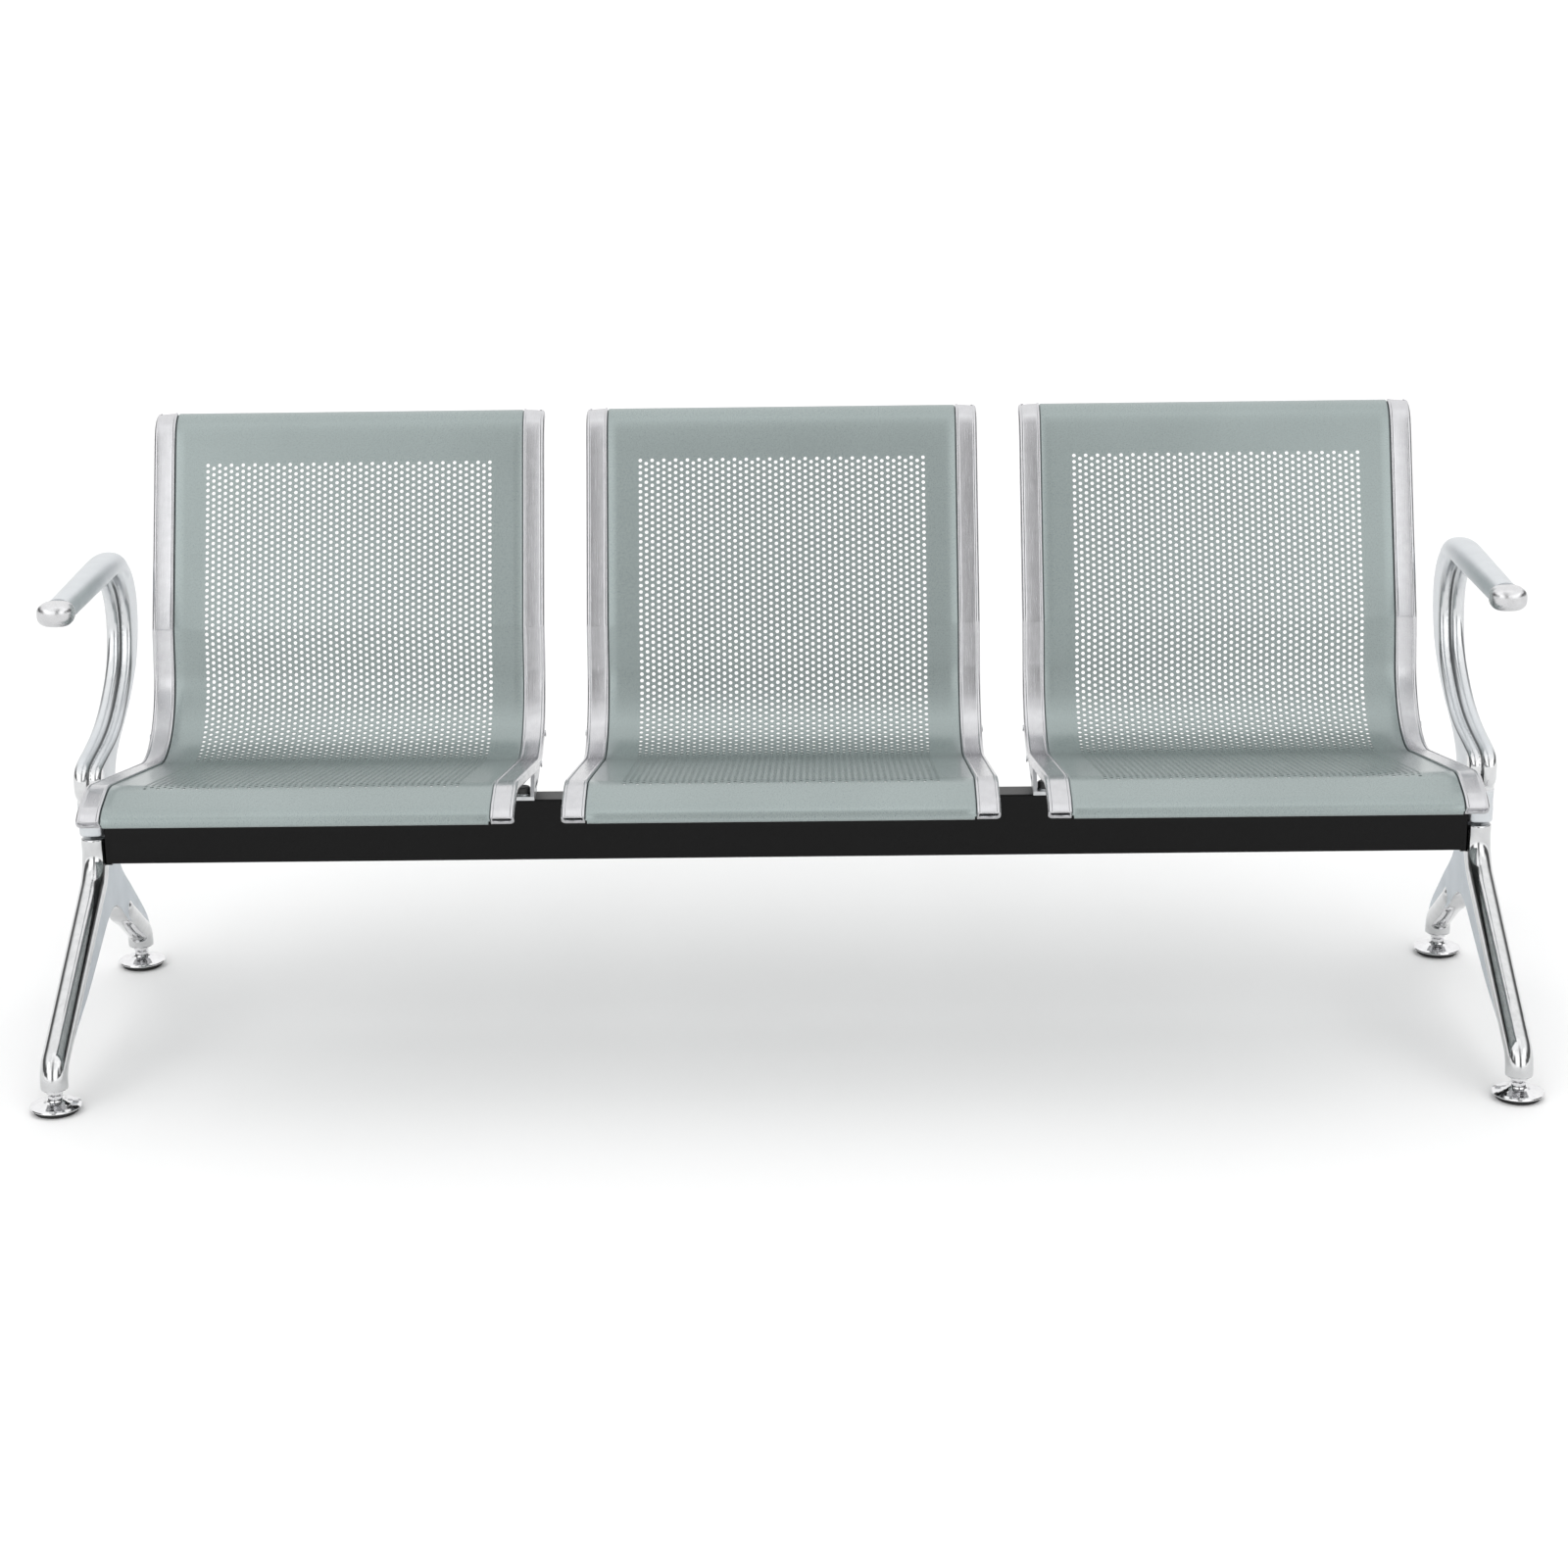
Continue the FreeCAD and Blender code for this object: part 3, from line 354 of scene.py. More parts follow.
# ------------------------------------------------------------- mesh utilities


def new_object(name, verts, faces, mat, sharp=35.0, fix=True):
    me = bpy.data.meshes.new(name)
    me.from_pydata([tuple(v) for v in verts], [], faces)
    if fix:
        bm = bmesh.new()
        bm.from_mesh(me)
        bmesh.ops.recalc_face_normals(bm, faces=bm.faces)
        bm.to_mesh(me)
        bm.free()
    me.polygons.foreach_set("use_smooth", [True] * len(me.polygons))
    me.set_sharp_from_angle(angle=math.radians(sharp))
    me.materials.append(mat)
    me.update()
    o = bpy.data.objects.new(name, me)
    bpy.context.scene.collection.objects.link(o)
    return o


def softened(node, name, voxel, rounds, mat, factor=0.5):
    """A copy of a CAD casting with its inner and outer corners run together,
    as a mould and a polishing wheel leave them."""
    src = nodes[node]
    me = src.data.copy()
    me.name = name
    o = bpy.data.objects.new(name, me)
    bpy.context.scene.collection.objects.link(o)
    bm = bmesh.new()
    bm.from_mesh(me)
    bmesh.ops.remove_doubles(bm, verts=bm.verts, dist=0.00001)
    bm.to_mesh(me)
    bm.free()
    r = o.modifiers.new("fine", "REMESH")
    r.mode = "VOXEL"
    r.voxel_size = voxel
    s = o.modifiers.new("soft", "SMOOTH")
    s.factor = factor
    s.iterations = rounds
    dg = bpy.context.evaluated_depsgraph_get()
    res = bpy.data.meshes.new_from_object(o.evaluated_get(dg))
    o.modifiers.clear()
    o.data = res
    res.name = name
    res.materials.clear()
    res.materials.append(mat)
    res.polygons.foreach_set("use_smooth", [True] * len(res.polygons))
    res.update()
    return o


# ---------------------------------------------------------- the seats' sheets
FACE = [("A", 42.0, 50.0), ("A", 260.0, 6.6), ("L", 237.86), ("A", 20.0, 12.4), ("L", 55.35), ("A", 112.0, -91.2), ("L", 289.13), ("A", 70.0, 27.2), ("L", 28.53), ("A", 50.0, 24.0)]
FACE_LEN = sum(p[1] if p[0] == "L" else p[1] * math.radians(abs(p[2])) for p in FACE)
FRONT = [("A", 3.5, 38.0), ("L", 5.6)]      # the sheet turns down more tightly than its frames
TIP = [("L", 8.5)]
START = (642.0, 762.0, 191.0)
HEM_R, HEM_LEN = 4.0, 8.0
SHEET = 1.5


class Run:
    """The seat's side view as a function of arc length: s = 0 is the top edge
    of the face; negative s and s beyond the face follow the folded hems."""

    def __init__(self, end, hem_turn):
        self.parts = []
        y, z, h = START[0], START[1], math.radians(START[2])
        s = 0.0
        for p in FACE + end:
            s, y, z, h = self.add(s, y, z, h, p)
        self.length = s
        for p in (("A", HEM_R, hem_turn), ("L", HEM_LEN)):
            s, y, z, h = self.add(s, y, z, h, p)
        self.end = s
        y, z, h = START[0], START[1], math.radians(START[2])
        s = 0.0
        for p in (("A", HEM_R, 170.0), ("L", HEM_LEN)):
            s, y, z, h = self.back(s, y, z, h, p)
        self.begin = s
        self.parts.sort(key=lambda q: q["s"])

    def add(self, s, y, z, h, p):
        if p[0] == "L":
            self.parts.append({"s": s, "e": s + p[1], "k": "L", "y": y, "z": z, "h": h})
            return s + p[1], y + p[1] * math.cos(h), z + p[1] * math.sin(h), h
        r, t = p[1], math.radians(p[2])
        sg = 1.0 if t > 0 else -1.0
        cy, cz = y - sg * r * math.sin(h), z + sg * r * math.cos(h)
        ln = r * abs(t)
        self.parts.append({"s": s, "e": s + ln, "k": "A", "cy": cy, "cz": cz, "r": r, "sg": sg, "h": h})
        h2 = h + t
        return s + ln, cy + sg * r * math.sin(h2), cz - sg * r * math.cos(h2), h2

    def back(self, s, y, z, h, p):
        """The same, walked backwards from the top edge."""
        if p[0] == "L":
            y2, z2 = y - p[1] * math.cos(h), z - p[1] * math.sin(h)
            self.parts.append({"s": s - p[1], "e": s, "k": "L", "y": y2, "z": z2, "h": h})
            return s - p[1], y2, z2, h
        r, t = p[1], math.radians(p[2])
        h0 = h - t
        cy, cz = y - r * math.sin(h), z + r * math.cos(h)
        ln = r * abs(t)
        self.parts.append({"s": s - ln, "e": s, "k": "A", "cy": cy, "cz": cz, "r": r, "sg": 1.0, "h": h0})
        return s - ln, cy + r * math.sin(h0), cz - r * math.cos(h0), h0

    def at(self, s, d):
        """Arrays (y, z) at arc lengths s and depths d below the face."""
        s = np.asarray(s, float)
        d = np.asarray(d, float)
        y = np.zeros_like(s)
        z = np.zeros_like(s)
        last = self.parts[-1]
        for p in self.parts:
            m = (s >= p["s"] - 1e-9) & ((s < p["e"]) | (p is last))
            if p["k"] == "L":
                c, n = math.cos(p["h"]), math.sin(p["h"])
                t = s[m] - p["s"]
                y[m] = p["y"] + t * c - d[m] * n
                z[m] = p["z"] + t * n + d[m] * c
            else:
                a = p["h"] + p["sg"] * (s[m] - p["s"]) / p["r"]
                rr = p["r"] - p["sg"] * d[m]
                y[m] = p["cy"] + p["sg"] * rr * np.sin(a)
                z[m] = p["cz"] - p["sg"] * rr * np.cos(a)
        return y, z


run = Run(FRONT, 127.0)
frame_run = Run(TIP, 165.0)
HALF = 528.5 / 2.0
EDGE = HALF - 28.5 - 0.15        # outer face of the sheet's side flange
BEND = 2.6
FLAT = EDGE - BEND
FLANGE = 12.0
COL, ROW = 7.95, 8.55
HOLE_R = 2.5
NCOL, NROW = 49, 91
S_ROW0 = 82.3
SIDES = 12


def section(u, t):
    """(x, depth) across the sheet at width coordinate u and depth t below the
    outer surface: flat, then bent down into the side flange."""
    a = np.abs(u)
    sg = np.sign(u)
    x = np.where(a <= FLAT, a, 0.0)
    d = np.where(a <= FLAT, t, 0.0)
    ang = np.clip((a - FLAT) / BEND, 0.0, math.pi / 2)
    arc = (a > FLAT) & (a <= FLAT + BEND * math.pi / 2)
    x = np.where(arc, FLAT + (BEND - t) * np.sin(ang), x)
    d = np.where(arc, BEND - (BEND - t) * np.cos(ang), d)
    down = a > FLAT + BEND * math.pi / 2
    x = np.where(down, EDGE - t, x)
    d = np.where(down, BEND + (a - FLAT - BEND * math.pi / 2), d)
    return x * sg, d


def sheet_faces():
    """The unrolled sheet as polygons in (u, s), sorted into three lengths of
    the sheet: back, bend and front."""
    pts, index, out = [], {}, ([], [], [])

    def vid(key, u, s):
        if key not in index:
            index[key] = len(pts)
            pts.append((u, s))
        return index[key]

    s_of = [S_ROW0 + (i - 1) * ROW / 2.0 for i in range(2 * NROW + 1)]
    u_of = [(k - NCOL / 2.0) * COL for k in range(NCOL + 1)]
    cut1, cut2 = 25, 57

    def region(j):
        return 0 if j < cut1 else (1 if j < cut2 else 2)

    gv = lambda k, i: vid(("g", k, i), u_of[k], s_of[i])
    for k in range(NCOL):
        odd = k % 2
        n = NROW - odd
        uc = (u_of[k] + u_of[k + 1]) / 2.0
        for j in range(n):
            i0 = 2 * j + odd
            sc = s_of[i0 + 1]
            ring = [gv(k + 1, i0 + 1), gv(k + 1, i0 + 2), gv(k, i0 + 2), gv(k, i0 + 1), gv(k, i0), gv(k + 1, i0)]
            hole = []
            for q in range(SIDES):
                a = 2 * math.pi * q / SIDES
                hole.append(vid(("h", k, j, q), uc + HOLE_R * math.cos(a), sc + HOLE_R * math.sin(a)))
            st = SIDES // 6
            for e in range(6):
                f = [ring[e], ring[(e + 1) % 6]]
                f += [hole[((e + 1) * st - q) % SIDES] for q in range(st + 1)]
                out[region(j)].append(f)
        if odd:
            out[0].append([gv(k, 0), gv(k + 1, 0), gv(k + 1, 1), gv(k, 1)])
            out[2].append([gv(k, 2 * NROW - 1), gv(k + 1, 2 * NROW - 1), gv(k + 1, 2 * NROW), gv(k, 2 * NROW)])
    # margins beside the holes
    arc = FLAT + BEND * math.pi / 2
    side = [u_of[-1], u_of[-1] + 12.0, u_of[-1] + 26.0, FLAT] + [FLAT + (arc - FLAT) * q / 3 for q in (1, 2, 3)] + [arc + (FLANGE - BEND) * q / 2 for q in (1, 2)]
    nside = len(side)

    def mv(sgn, q, i_key, s):
        if q == 0:
            k = NCOL if sgn > 0 else 0
            if isinstance(i_key, int):
                return gv(k, i_key)
            return vid((i_key, "k", k), u_of[k], s)
        return vid((i_key if not isinstance(i_key, int) else ("m", i_key), sgn, q), sgn * side[q], s)

    def strip(i_a, s_a, i_b, s_b, reg, flat_only=False, columns=True):
        last = 4 if flat_only else nside
        for sgn in (-1, 1):
            for q in range(last - 1):
                out[reg].append([mv(sgn, q, i_a, s_a), mv(sgn, q + 1, i_a, s_a), mv(sgn, q + 1, i_b, s_b), mv(sgn, q, i_b, s_b)])
        if columns:
            for k in range(NCOL):
                ida = gv(k, i_a) if isinstance(i_a, int) else vid((i_a, "k", k), u_of[k], s_a)
                idb = gv(k + 1, i_a) if isinstance(i_a, int) else vid((i_a, "k", k + 1), u_of[k + 1], s_a)
                idc = gv(k + 1, i_b) if isinstance(i_b, int) else vid((i_b, "k", k + 1), u_of[k + 1], s_b)
                idd = gv(k, i_b) if isinstance(i_b, int) else vid((i_b, "k", k), u_of[k], s_b)
                out[reg].append([ida, idb, idc, idd])

    for i in range(2 * NROW):
        strip(i, s_of[i], i + 1, s_of[i + 1], region(i // 2), columns=False)
    # plain top with its hem, then plain front with its hem
    top = [run.begin, run.begin + HEM_LEN / 2, run.begin + HEM_LEN]
    arc_len = -run.begin - HEM_LEN
    top += [run.begin + HEM_LEN + arc_len * q / 10 for q in range(1, 10)] + [0.0]
    for a, b in zip(range(len(top) - 1), range(1, len(top))):
        strip(("t", top[a]), top[a], ("t", top[b]), top[b], 0, flat_only=True)
    mid = [s_of[0] * q / 18 for q in range(18)] + [s_of[0]]
    for a in range(18):
        ka = ("t", 0.0) if a == 0 else ("u", a)
        kb = 0 if a == 17 else ("u", a + 1)
        strip(ka, mid[a], kb, mid[a + 1], 0)
    s_end = s_of[-1]
    n2 = 18
    low = [s_end + (run.length - s_end) * q / n2 for q in range(n2 + 1)]
    for a in range(n2):
        ka = 2 * NROW if a == 0 else ("v", a)
        strip(ka, low[a], ("v", a + 1), low[a + 1], 2)
    arc_len = run.end - run.length - HEM_LEN
    fr = [run.length + arc_len * q / 10 for q in range(11)] + [run.end - HEM_LEN / 2, run.end]
    for a in range(len(fr) - 1):
        ka = ("v", n2) if a == 0 else ("w", a)
        strip(ka, fr[a], ("w", a + 1), fr[a + 1], 2, flat_only=True)
    return np.array(pts), out


def thick(pts, faces):
    """Closed solid of the sheet over these faces, centred on X = 0."""
    used = sorted({v for f in faces for v in f})
    new = {v: i for i, v in enumerate(used)}
    p = pts[used]
    n = len(used)
    verts = []
    for t in (0.0, SHEET):
        x, d = section(p[:, 0], np.full(n, t))
        # the side flanges run out before the front turn
        d = np.minimum(d, np.interp(p[:, 1], [FACE_LEN - 9.0, FACE_LEN - 0.5], [20.0, 2.9]))
        y, z = run.at(p[:, 1], d)
        verts.append(np.stack([x, y + Y0, z], axis=1) * MM)
    verts = np.concatenate(verts)
    edges = {}
    polys = []
    for f in faces:
        g1 = [new[v] for v in f]
        polys.append(g1)
        polys.append([v + n for v in reversed(g1)])
        for a, b in zip(g1, g1[1:] + g1[:1]):
            if (b, a) in edges:
                del edges[(b, a)]
            else:
                edges[(a, b)] = True
    for a, b in edges:
        polys.append([b, a, a + n, b + n])
    return verts, polys


pts, regions = sheet_faces()
for part, faces in zip(("back", "bend", "front"), regions):
    # all faces wind the same way round
    fixed = []
    for f in faces:
        area = 0.0
        for a, b in zip(f, f[1:] + f[:1]):
            area += pts[a][0] * pts[b][1] - pts[b][0] * pts[a][1]
        fixed.append(f if area > 0 else f[::-1])
    verts, polys = thick(pts, fixed)
    for name, cx in (("left", -585.0), ("middle", 0.0), ("right", 585.0)):
        v = verts.copy()
        v[:, 0] += cx * MM
        o = new_object("sheet_%s_%s" % (name, part), v, polys, seat_paint, 38.0)
        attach(o, "seating")
        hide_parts("seat_panel_" + name)

# ------------------------------------------------------------ the side frames
FW, FD, FP = 28.5, 13.0, 2.0        # width, depth below the face, rise above it
WALL = 3.0


def arc_pts(cx, cd, r, a0, a1, n):
    out = []
    for i in range(n + 1):
        a = math.radians(a0 + (a1 - a0) * i / n)
        out.append((cx + r * math.cos(a), cd + r * math.sin(a)))
    return out


# (x from the sheet's side outwards, depth below the sheet's face), going up
# the inner side, over the two beads and the shallow face, down the shoulder
UPPER = [(0.0, 9.0), (0.0, 3.0), (0.0, -0.9)] + arc_pts(1.1, -0.9, 1.1, 190, 265, 4) + [(2.2, -2.0)]
UPPER += [(2.7, -1.93), (3.1, -1.6), (3.4, -1.2), (3.9, -1.02), (5.0, -1.0), (9.0, -0.92), (13.5, -0.9), (18.0, -0.92), (22.0, -1.0), (23.0, -1.04), (23.5, -1.25), (23.85, -1.7), (24.3, -1.97)]
UPPER += arc_pts(24.5, 2.0, 4.0, 270, 360, 9) + [(28.5, 5.0)]
CHANNEL = UPPER + arc_pts(22.5, 7.0, 6.0, 0, 60, 7) + [(25.5, 9.0), (25.5, 3.6), (24.9, 3.0), (14.0, 3.0), (3.6, 3.0), (3.0, 3.6), (3.0, 9.0), (3.0, 13.0), (0.0, 13.0)]
SOLID = UPPER + arc_pts(22.5, 7.0, 6.0, 0, 90, 10) + [(14.0, 13.0), (0.0, 13.0)]
SLOT = [(2.6, 1.3), (3.2, 0.7), (14.0, 0.6), (24.4, 0.7), (25.2, 1.4), (25.2, 3.2), (24.5, 5.2), (22.8, 6.7), (20.0, 7.5), (14.0, 7.7), (3.4, 7.5), (2.6, 6.7), (2.4, 4.0)]


def shrunk(loop, by):
    """The loop moved inwards."""
    n = len(loop)
    area = sum(loop[i][0] * loop[(i + 1) % n][1] - loop[(i + 1) % n][0] * loop[i][1] for i in range(n))
    sg = 1.0 if area > 0 else -1.0
    out = []
    for i in range(n):
        (x0, d0), (x1, d1), (x2, d2) = loop[i - 1], loop[i], loop[(i + 1) % n]
        e0, e1 = Vector((x1 - x0, d1 - d0)), Vector((x2 - x1, d2 - d1))
        n0 = Vector((-e0.y, e0.x)).normalized() * sg
        n1 = Vector((-e1.y, e1.x)).normalized() * sg
        m = n0 + n1
        m = m / max(0.6, m.dot(n0))
        out.append((x1 + m.x * by, d1 + m.y * by))
    return out


def spread(a, b):
    """Arc lengths between a and b, close together where the path bends."""
    out = [a]
    for p in frame_run.parts:
        lo, hi = max(p["s"], a), min(p["e"], b)
        if hi - lo < 1e-6:
            continue
        n = max(1, int(math.ceil((hi - lo) / (60.0 if p["k"] == "L" else max(1.2, p["r"] * 0.045)))))
        out += [lo + (hi - lo) * (i + 1) / n for i in range(n)]
    return out


def swept(rings, cap0, cap1, base=0):
    """Quads between equal rings, each a list of vertices already placed."""
    n = len(rings[0])
    faces = []
    for k in range(len(rings) - 1):
        for i in range(n):
            j = (i + 1) % n
            faces.append((base + k * n + i, base + k * n + j, base + (k + 1) * n + j, base + (k + 1) * n + i))
    return faces


def frame_mesh(xi, side):
    verts, faces = [], []

    def place(loop, s):
        xs = np.array([q[0] for q in loop])
        ds = np.array([q[1] for q in loop])
        y, z = frame_run.at(np.full(len(loop), s), ds)
        return [((xi + side * x) * MM, (yy + Y0) * MM, zz * MM) for x, yy, zz in zip(xs, y, z)]

    def fill(loops2d, index):
        tri = tessellate_polygon([[Vector((x, d, 0.0)) for x, d in lp] for lp in loops2d])
        for t in tri:
            faces.append(tuple(index[i] for i in t))

    def start_loop(loop, s):
        """Rounded outer corner and rounded edge at the rear end."""
        r = 6.0
        xm = FW - (r - math.sqrt(max(0.0, r * r - max(0.0, r - s) ** 2)))
        fall = 2.6 * max(0.0, 1.0 - s / 42.0) ** 1.3
        lp = [(min(x, xm), d + fall * (x / FW) ** 2) for x, d in loop]
        e = 1.4
        if s < e:
            lp = shrunk(lp, e - math.sqrt(max(0.0, e * e - (e - s) ** 2)))
        return lp

    end = frame_run.length - 3.5
    # closed rear end, then the channel, then the closed front end
    s0 = [0.0, 0.2, 0.6, 1.0, 1.4, 2.2, 3.0, 4.0]
    rings = [place(start_loop(SOLID, s), s) for s in s0]
    base = len(verts)
    for r in rings:
        verts.extend(r)
    faces.extend(swept(rings, True, False, base))
    fill([start_loop(SOLID, 0.0)], list(range(base, base + len(SOLID))))
    ss = [4.0, 5.0, 6.0] + spread(6.0, end - 24.0)[1:]

    rings = [place(start_loop(CHANNEL, s), s) for s in ss]
    base = len(verts)
    for r in rings:
        verts.extend(r)
    faces.extend(swept(rings, False, False, base))
    e = 1.1
    ss = spread(end - 24.0, end - e) + [end - e + e * math.sin(math.radians(a)) for a in (22, 45, 67, 90)]
    by = [max(0.0, e - math.sqrt(max(0.0, e * e - max(0.0, s - (end - e)) ** 2))) for s in ss]
    rings = [place(shrunk(SOLID, b) if b > 0 else SOLID, s) for s, b in zip(ss, by)]
    base = len(verts)
    for r in rings:
        verts.extend(r)
    faces.extend(swept(rings, False, False, base))
    outer = list(range(len(verts) - len(SOLID), len(verts)))
    base = len(verts)
    if abs(xi + side * FW) > 840.0:
        depth = [end, end - 0.5, end - 1.5]           # only a mark in the outermost castings
    else:
        depth = [end, end - 0.5, end - 4.0, end - 8.0, end - 12.0]
    rings = [place(SLOT if s < end else shrunk(SLOT, -0.3), s) for s in depth]
    for r in rings:
        verts.extend(r)
    faces.extend(swept(rings, False, False, base))
    n = len(SLOT)
    fill([shrunk(SOLID, by[-1]), shrunk(SLOT, -0.3)], outer + list(range(base, base + n)))
    fill([SLOT], list(range(base + n * (len(depth) - 1), base + n * len(depth))))
    return verts, faces


for name, cx in (("left", -585.0), ("middle", 0.0), ("right", 585.0)):
    for suffix, side in (("a", -1.0), ("b", 1.0)):
        v, f = frame_mesh(cx + side * (HALF - FW), side)
        o = new_object("frame_casting_%s_%s" % (name, suffix), v, f, frame_cast, 40.0)
        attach(o, "seating")
        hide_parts("seat_frame_%s_%s" % (name, suffix))

# ------------------------------------------------------------------- castings
for side in ("left", "right"):
    o = softened("leg_" + side, "leg_casting_" + side, 0.0015, 8, leg_metal)
    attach(o, "seating")
    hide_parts("leg_" + side)
    o = softened("armrest_" + side, "armrest_casting_" + side, 0.0014, 6, arm_metal)
    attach(o, "seating")
    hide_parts("armrest_" + side)

# ------------------------------------------------------------------- end caps
for sgn, side in ((-1.0, "left"), (1.0, "right")):
    axc = sgn * 902.5
    zc = 588.2
    prof = []
    for i in range(15):
        t = math.radians(90.0 * i / 14)
        prof.append((186.2 + 15.0 * (1 - math.cos(t)), math.sin(t) ** 0.86))
    prof += [(206.0, 1.0), (210.0, 0.998), (213.5, 0.985), (216.5, 0.955), (219.0, 0.905), (220.4, 0.86), (220.8, 0.80)]
    verts, faces = [], []
    N = 72
    for y, k in prof:
        for i in range(N):
            a = 2 * math.pi * i / N
            c, sn = math.cos(a), math.sin(a)
            e = 2.0 / 2.7
            x = math.copysign(abs(c) ** e, c) * 22.9 * k
            z = math.copysign(abs(sn) ** e, sn) * 15.6 * k
            verts.append(((axc + x) * MM, (y + Y0) * MM, (zc + z) * MM))
    for k in range(len(prof) - 1):
        for i in range(N):
            j = (i + 1) % N
            faces.append((k * N + i, k * N + j, (k + 1) * N + j, (k + 1) * N + i))
    faces.append(tuple(range(N)))
    faces.append(tuple(range((len(prof) - 1) * N, len(prof) * N)))
    base = len(verts)
    for y in (219.0, 243.0):
        for i in range(32):
            a = 2 * math.pi * i / 32
            verts.append(((axc + 9.0 * math.cos(a)) * MM, (y + Y0) * MM, (588.0 + 9.0 * math.sin(a)) * MM))
    for i in range(32):
        j = (i + 1) % 32
        faces.append((base + i, base + j, base + 32 + j, base + 32 + i))
    faces.append(tuple(range(base, base + 32)))
    faces.append(tuple(range(base + 32, base + 64)))
    o = new_object("armrest_end_" + side, verts, faces, polished, 50.0)
    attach(o, "seating")
    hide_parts("armrest_cap_" + side)

# ------------------------------------------------------- glide stems and nuts


def radial(levels, around, cx, cy, inner=None):
    """Closed body from outer radii r(angle) at heights, [(z, function)].  With
    inner, a bore of that radius runs through it."""
    verts, faces = [], []
    for z, fn in levels:
        for i in range(around):
            a = 2 * math.pi * i / around
            r = fn(a)
            verts.append(((cx + r * math.cos(a)) * MM, (cy + Y0 + r * math.sin(a)) * MM, z * MM))
    n = len(levels)
    for k in range(n - 1):
        for i in range(around):
            j = (i + 1) % around
            faces.append((k * around + i, k * around + j, (k + 1) * around + j, (k + 1) * around + i))
    if inner is None:
        faces.append(tuple(range(around)))
        faces.append(tuple(range((n - 1) * around, n * around)))
    else:
        base = len(verts)
        for z in (levels[0][0], levels[-1][0]):
            for i in range(around):
                a = 2 * math.pi * i / around
                verts.append(((cx + inner * math.cos(a)) * MM, (cy + Y0 + inner * math.sin(a)) * MM, z * MM))
        for i in range(around):
            j = (i + 1) % around
            faces.append((base + i, base + j, base + around + j, base + around + i))
            faces.append((i, j, base + j, base + i))
            t = (n - 1) * around
            faces.append((t + i, t + j, base + around + j, base + around + i))
    return verts, faces


def hexa(across, limit):
    """Outline of a hexagon whose corners are turned down to a radius."""
    def fn(a):
        q = (math.degrees(a) + 30.0) % 60.0 - 30.0
        return min(across / 2.0 / math.cos(math.radians(q)), limit)
    return fn


def rnd(r):
    return lambda a: r


PITCH = 1.75


def thread(z, phase):
    def fn(a):
        q = ((z - phase) / PITCH - a / (2 * math.pi)) % 1.0
        t = abs(q - 0.5) * 2.0
        return 6.0 - 1.0 * min(1.0, max(0.0, (t - 0.12) / 0.76))
    return fn


for name, gx, gy in (("front_left", -905.0, 17.0), ("front_right", 905.0, 17.0), ("rear_left", -905.0, 550.0), ("rear_right", 905.0, 550.0)):
    lev = [(6.35, rnd(8.7)), (6.65, rnd(9.0)), (8.55, rnd(9.0)), (8.85, rnd(8.7)), (8.86, rnd(6.0)), (17.29, rnd(6.0)), (17.3, rnd(9.0)), (17.5, rnd(9.2)), (18.1, rnd(9.2)),
           (18.3, rnd(8.9)), (18.31, hexa(17.0, 9.0)), (18.8, hexa(17.0, 9.6)), (19.2, hexa(17.0, 9.81)), (20.9, hexa(17.0, 9.81)), (21.4, hexa(17.0, 9.5)), (21.8, hexa(17.0, 8.7)), (21.81, rnd(5.0))]
    z = 21.9
    while z < 59.0:
        lev.append((z, thread(z, 0.0)))
        z += PITCH / 10.0
    lev += [(59.0, rnd(5.0)), (60.0, rnd(4.2))]
    v, f = radial(lev, 48, gx, gy)
    o = new_object("stem_thread_" + name, v, f, chrome, 34.0)
    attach(o, "glide_stem_" + name)
    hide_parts("glide_stem_" + name)
    lev = [(24.4, hexa(19.0, 9.7)), (24.8, hexa(19.0, 10.5)), (25.3, hexa(19.0, 10.96)), (28.6, hexa(19.0, 10.96)), (29.1, hexa(19.0, 10.5)), (29.38, hexa(19.0, 9.9)), (29.4, rnd(11.9)), (29.5, rnd(12.0)), (29.9, rnd(12.0)), (30.0, rnd(11.9))]
    v, f = radial(lev, 96, gx, gy, 6.06)
    o = new_object("lock_nut_" + name, v, f, chrome, 34.0)
    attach(o, "seating")
    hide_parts("glide_nut_" + name)

# ---------------------------------------------------------------------- stage
floor_m = Mat("studio_floor")
n = floor_m.noise(0.8, 2.0)
r = floor_m.ramp(n, "Fac", [(0.3, g(0.965)), (0.7, g(0.975))])
floor_m.link(r, "Color", floor_m.b, "Base Color")
floor_m.set(Roughness=0.9)
me = bpy.data.meshes.new("studio_floor")
R = 60.0
ring = [(R * math.cos(2 * math.pi * i / 64), R * math.sin(2 * math.pi * i / 64), 0.0) for i in range(64)]
me.from_pydata(ring, [], [list(range(64))])
me.materials.append(floor_m.m)
floor = bpy.data.objects.new("studio_floor", me)
bpy.context.scene.collection.objects.link(floor)

world = bpy.data.worlds.new("studio")
bpy.context.scene.world = world
world.use_nodes = True
wt = world.node_tree
wt.nodes.clear()
wo = wt.nodes.new("ShaderNodeOutputWorld")
bg = wt.nodes.new("ShaderNodeBackground")
tc = wt.nodes.new("ShaderNodeTexCoord")
sep = wt.nodes.new("ShaderNodeSeparateXYZ")
wt.links.new(tc.outputs["Generated"], sep.inputs["Vector"])


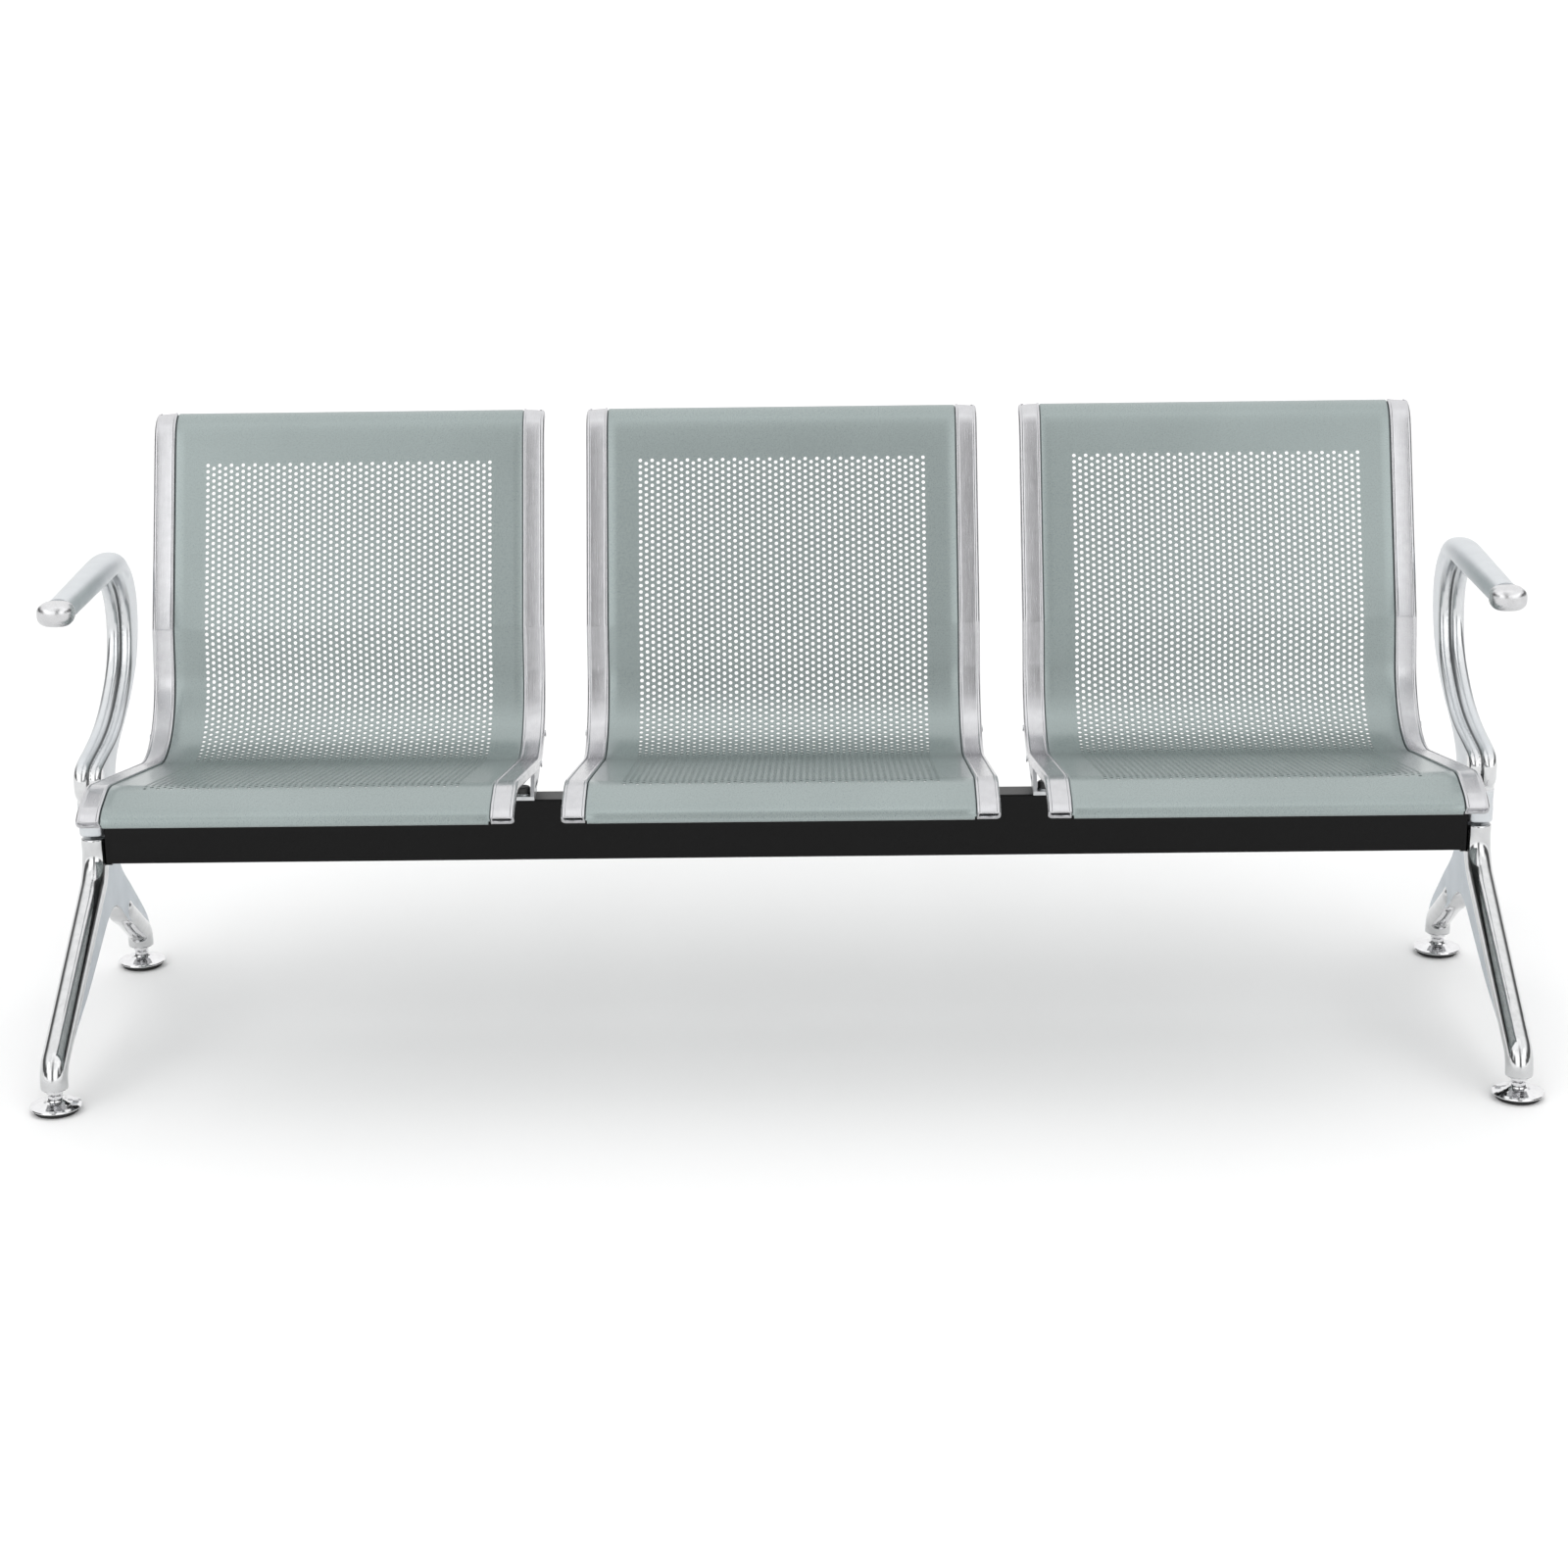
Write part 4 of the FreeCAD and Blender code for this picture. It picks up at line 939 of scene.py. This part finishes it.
def sky(stops):
    r = wt.nodes.new("ShaderNodeValToRGB")
    el = r.color_ramp.elements
    el[0].position, el[0].color = stops[0][0], g(stops[0][1])
    el[1].position, el[1].color = stops[-1][0], g(stops[-1][1])
    for p, c in stops[1:-1]:
        e = el.new(p)
        e.color = g(c)
    wt.links.new(sep.outputs["Z"], r.inputs["Fac"])
    return r


# A bright ceiling and light walls.  Straight in front, where the photographer
# stands, the room is darker up to some 40 degrees.
front = sky([(0.0, 0.90), (0.06, 0.86), (0.13, 0.18), (0.50, 0.20), (0.66, 0.36), (0.80, 0.46), (0.92, 0.60), (1.0, 1.0)])
around = sky([(0.0, 0.85), (0.15, 1.22), (0.30, 1.52), (0.50, 1.48), (0.70, 1.15), (0.85, 1.0), (1.0, 1.0)])
behind = sky([(0.0, 0.80), (0.20, 0.86), (0.45, 0.92), (0.70, 0.98), (0.85, 1.0), (1.0, 1.0)])
rear = wt.nodes.new("ShaderNodeMapRange")
rear.inputs["From Min"].default_value = -0.15
rear.inputs["From Max"].default_value = 0.10
rear.inputs["To Min"].default_value = 0.0
rear.inputs["To Max"].default_value = 1.0
rear.interpolation_type = "SMOOTHSTEP"
wt.links.new(sep.outputs["Y"], rear.inputs["Value"])
walls = wt.nodes.new("ShaderNodeMix")
walls.data_type = "RGBA"
wt.links.new(rear.outputs["Result"], walls.inputs[0])
wt.links.new(around.outputs["Color"], walls.inputs[6])
wt.links.new(behind.outputs["Color"], walls.inputs[7])
ab = wt.nodes.new("ShaderNodeMath")
ab.operation = "ABSOLUTE"
wt.links.new(sep.outputs["X"], ab.inputs[0])
across = wt.nodes.new("ShaderNodeMapRange")
across.inputs["From Min"].default_value = 0.09
across.inputs["From Max"].default_value = 0.19
across.inputs["To Min"].default_value = 1.0
across.inputs["To Max"].default_value = 0.0
across.interpolation_type = "SMOOTHSTEP"
wt.links.new(ab.outputs["Value"], across.inputs["Value"])
side = wt.nodes.new("ShaderNodeMapRange")
side.inputs["From Min"].default_value = -0.20
side.inputs["From Max"].default_value = 0.05
side.inputs["To Min"].default_value = 1.0
side.inputs["To Max"].default_value = 0.0
side.interpolation_type = "SMOOTHSTEP"
wt.links.new(sep.outputs["Y"], side.inputs["Value"])
zone = wt.nodes.new("ShaderNodeMath")
zone.operation = "MULTIPLY"
wt.links.new(across.outputs["Result"], zone.inputs[0])
wt.links.new(side.outputs["Result"], zone.inputs[1])
mixc = wt.nodes.new("ShaderNodeMix")
mixc.data_type = "RGBA"
wt.links.new(zone.outputs["Value"], mixc.inputs[0])
wt.links.new(walls.outputs[2], mixc.inputs[6])
wt.links.new(front.outputs["Color"], mixc.inputs[7])
# dark curtains on both sides, hung clear of the horizon
wide = wt.nodes.new("ShaderNodeMapRange")
wide.inputs["From Min"].default_value = 0.52
wide.inputs["From Max"].default_value = 0.76
wide.inputs["To Min"].default_value = 0.0
wide.inputs["To Max"].default_value = 1.0
wide.interpolation_type = "SMOOTHSTEP"
wt.links.new(ab.outputs["Value"], wide.inputs["Value"])
low = wt.nodes.new("ShaderNodeMapRange")
low.inputs["From Min"].default_value = 0.42
low.inputs["From Max"].default_value = 0.70
low.inputs["To Min"].default_value = 1.0
low.inputs["To Max"].default_value = 0.0
low.interpolation_type = "SMOOTHSTEP"
wt.links.new(sep.outputs["Z"], low.inputs["Value"])
hem = wt.nodes.new("ShaderNodeMapRange")
hem.inputs["From Min"].default_value = 0.10
hem.inputs["From Max"].default_value = 0.18
hem.inputs["To Min"].default_value = 0.0
hem.inputs["To Max"].default_value = 1.0
hem.interpolation_type = "SMOOTHSTEP"
wt.links.new(sep.outputs["Z"], hem.inputs["Value"])
height = wt.nodes.new("ShaderNodeMath")
height.operation = "MULTIPLY"
wt.links.new(low.outputs["Result"], height.inputs[0])
wt.links.new(hem.outputs["Result"], height.inputs[1])
curtain = wt.nodes.new("ShaderNodeMath")
curtain.operation = "MULTIPLY"
wt.links.new(wide.outputs["Result"], curtain.inputs[0])
wt.links.new(height.outputs["Value"], curtain.inputs[1])
mixd = wt.nodes.new("ShaderNodeMix")
mixd.data_type = "RGBA"
wt.links.new(curtain.outputs["Value"], mixd.inputs[0])
wt.links.new(mixc.outputs[2], mixd.inputs[6])
mixd.inputs[7].default_value = g(0.10)
wt.links.new(mixd.outputs[2], bg.inputs["Color"])
bg.inputs["Strength"].default_value = 1.29
wt.links.new(bg.outputs["Background"], wo.inputs["Surface"])


def area(name, loc, target, size, size_y, power):
    li = bpy.data.lights.new(name, "AREA")
    li.shape = "RECTANGLE"
    li.size, li.size_y = size, size_y
    li.energy = power
    o = bpy.data.objects.new(name, li)
    bpy.context.scene.collection.objects.link(o)
    o.location = loc
    d = Vector(target) - Vector(loc)
    o.rotation_euler = d.to_track_quat("-Z", "Y").to_euler()
    return o


area("softbox_top", (0.0, -0.9, 3.4), (0.0, 0.0, 0.4), 3.6, 2.0, 5.0)
area("softbox_left", (-3.4, -2.4, 2.6), (0.0, 0.0, 0.4), 1.2, 2.4, 6.0)
area("softbox_right", (3.4, -2.2, 2.4), (0.0, 0.0, 0.4), 1.0, 2.2, 4.0)

# --------------------------------------------------------------------- camera
yaw, pitch, roll = math.radians(0.70), math.radians(16.60), math.radians(-0.80)
fwd = Vector((-math.sin(yaw) * math.cos(pitch), math.cos(yaw) * math.cos(pitch), -math.sin(pitch)))
right = Vector((math.cos(yaw), math.sin(yaw), 0.0))
up = right.cross(fwd)
r2 = math.cos(roll) * right + math.sin(roll) * up
u2 = -math.sin(roll) * right + math.cos(roll) * up
cam = bpy.data.cameras.new("camera")
cam.sensor_fit = "HORIZONTAL"
cam.sensor_width = 36.0
cam.lens = 3250.0 / 1600.0 * 36.0
cam.clip_end = 200.0
co = bpy.data.objects.new("camera", cam)
bpy.context.scene.collection.objects.link(co)
m = Matrix.Identity(4)
for i in range(3):
    m[i][0], m[i][1], m[i][2] = r2[i], u2[i], -fwd[i]
m[0][3], m[1][3], m[2][3] = 0.049, -3.650 + Y0 * MM, 1.507
co.matrix_world = m
bpy.context.scene.camera = co
bpy.context.scene.view_settings.view_transform = "Standard"
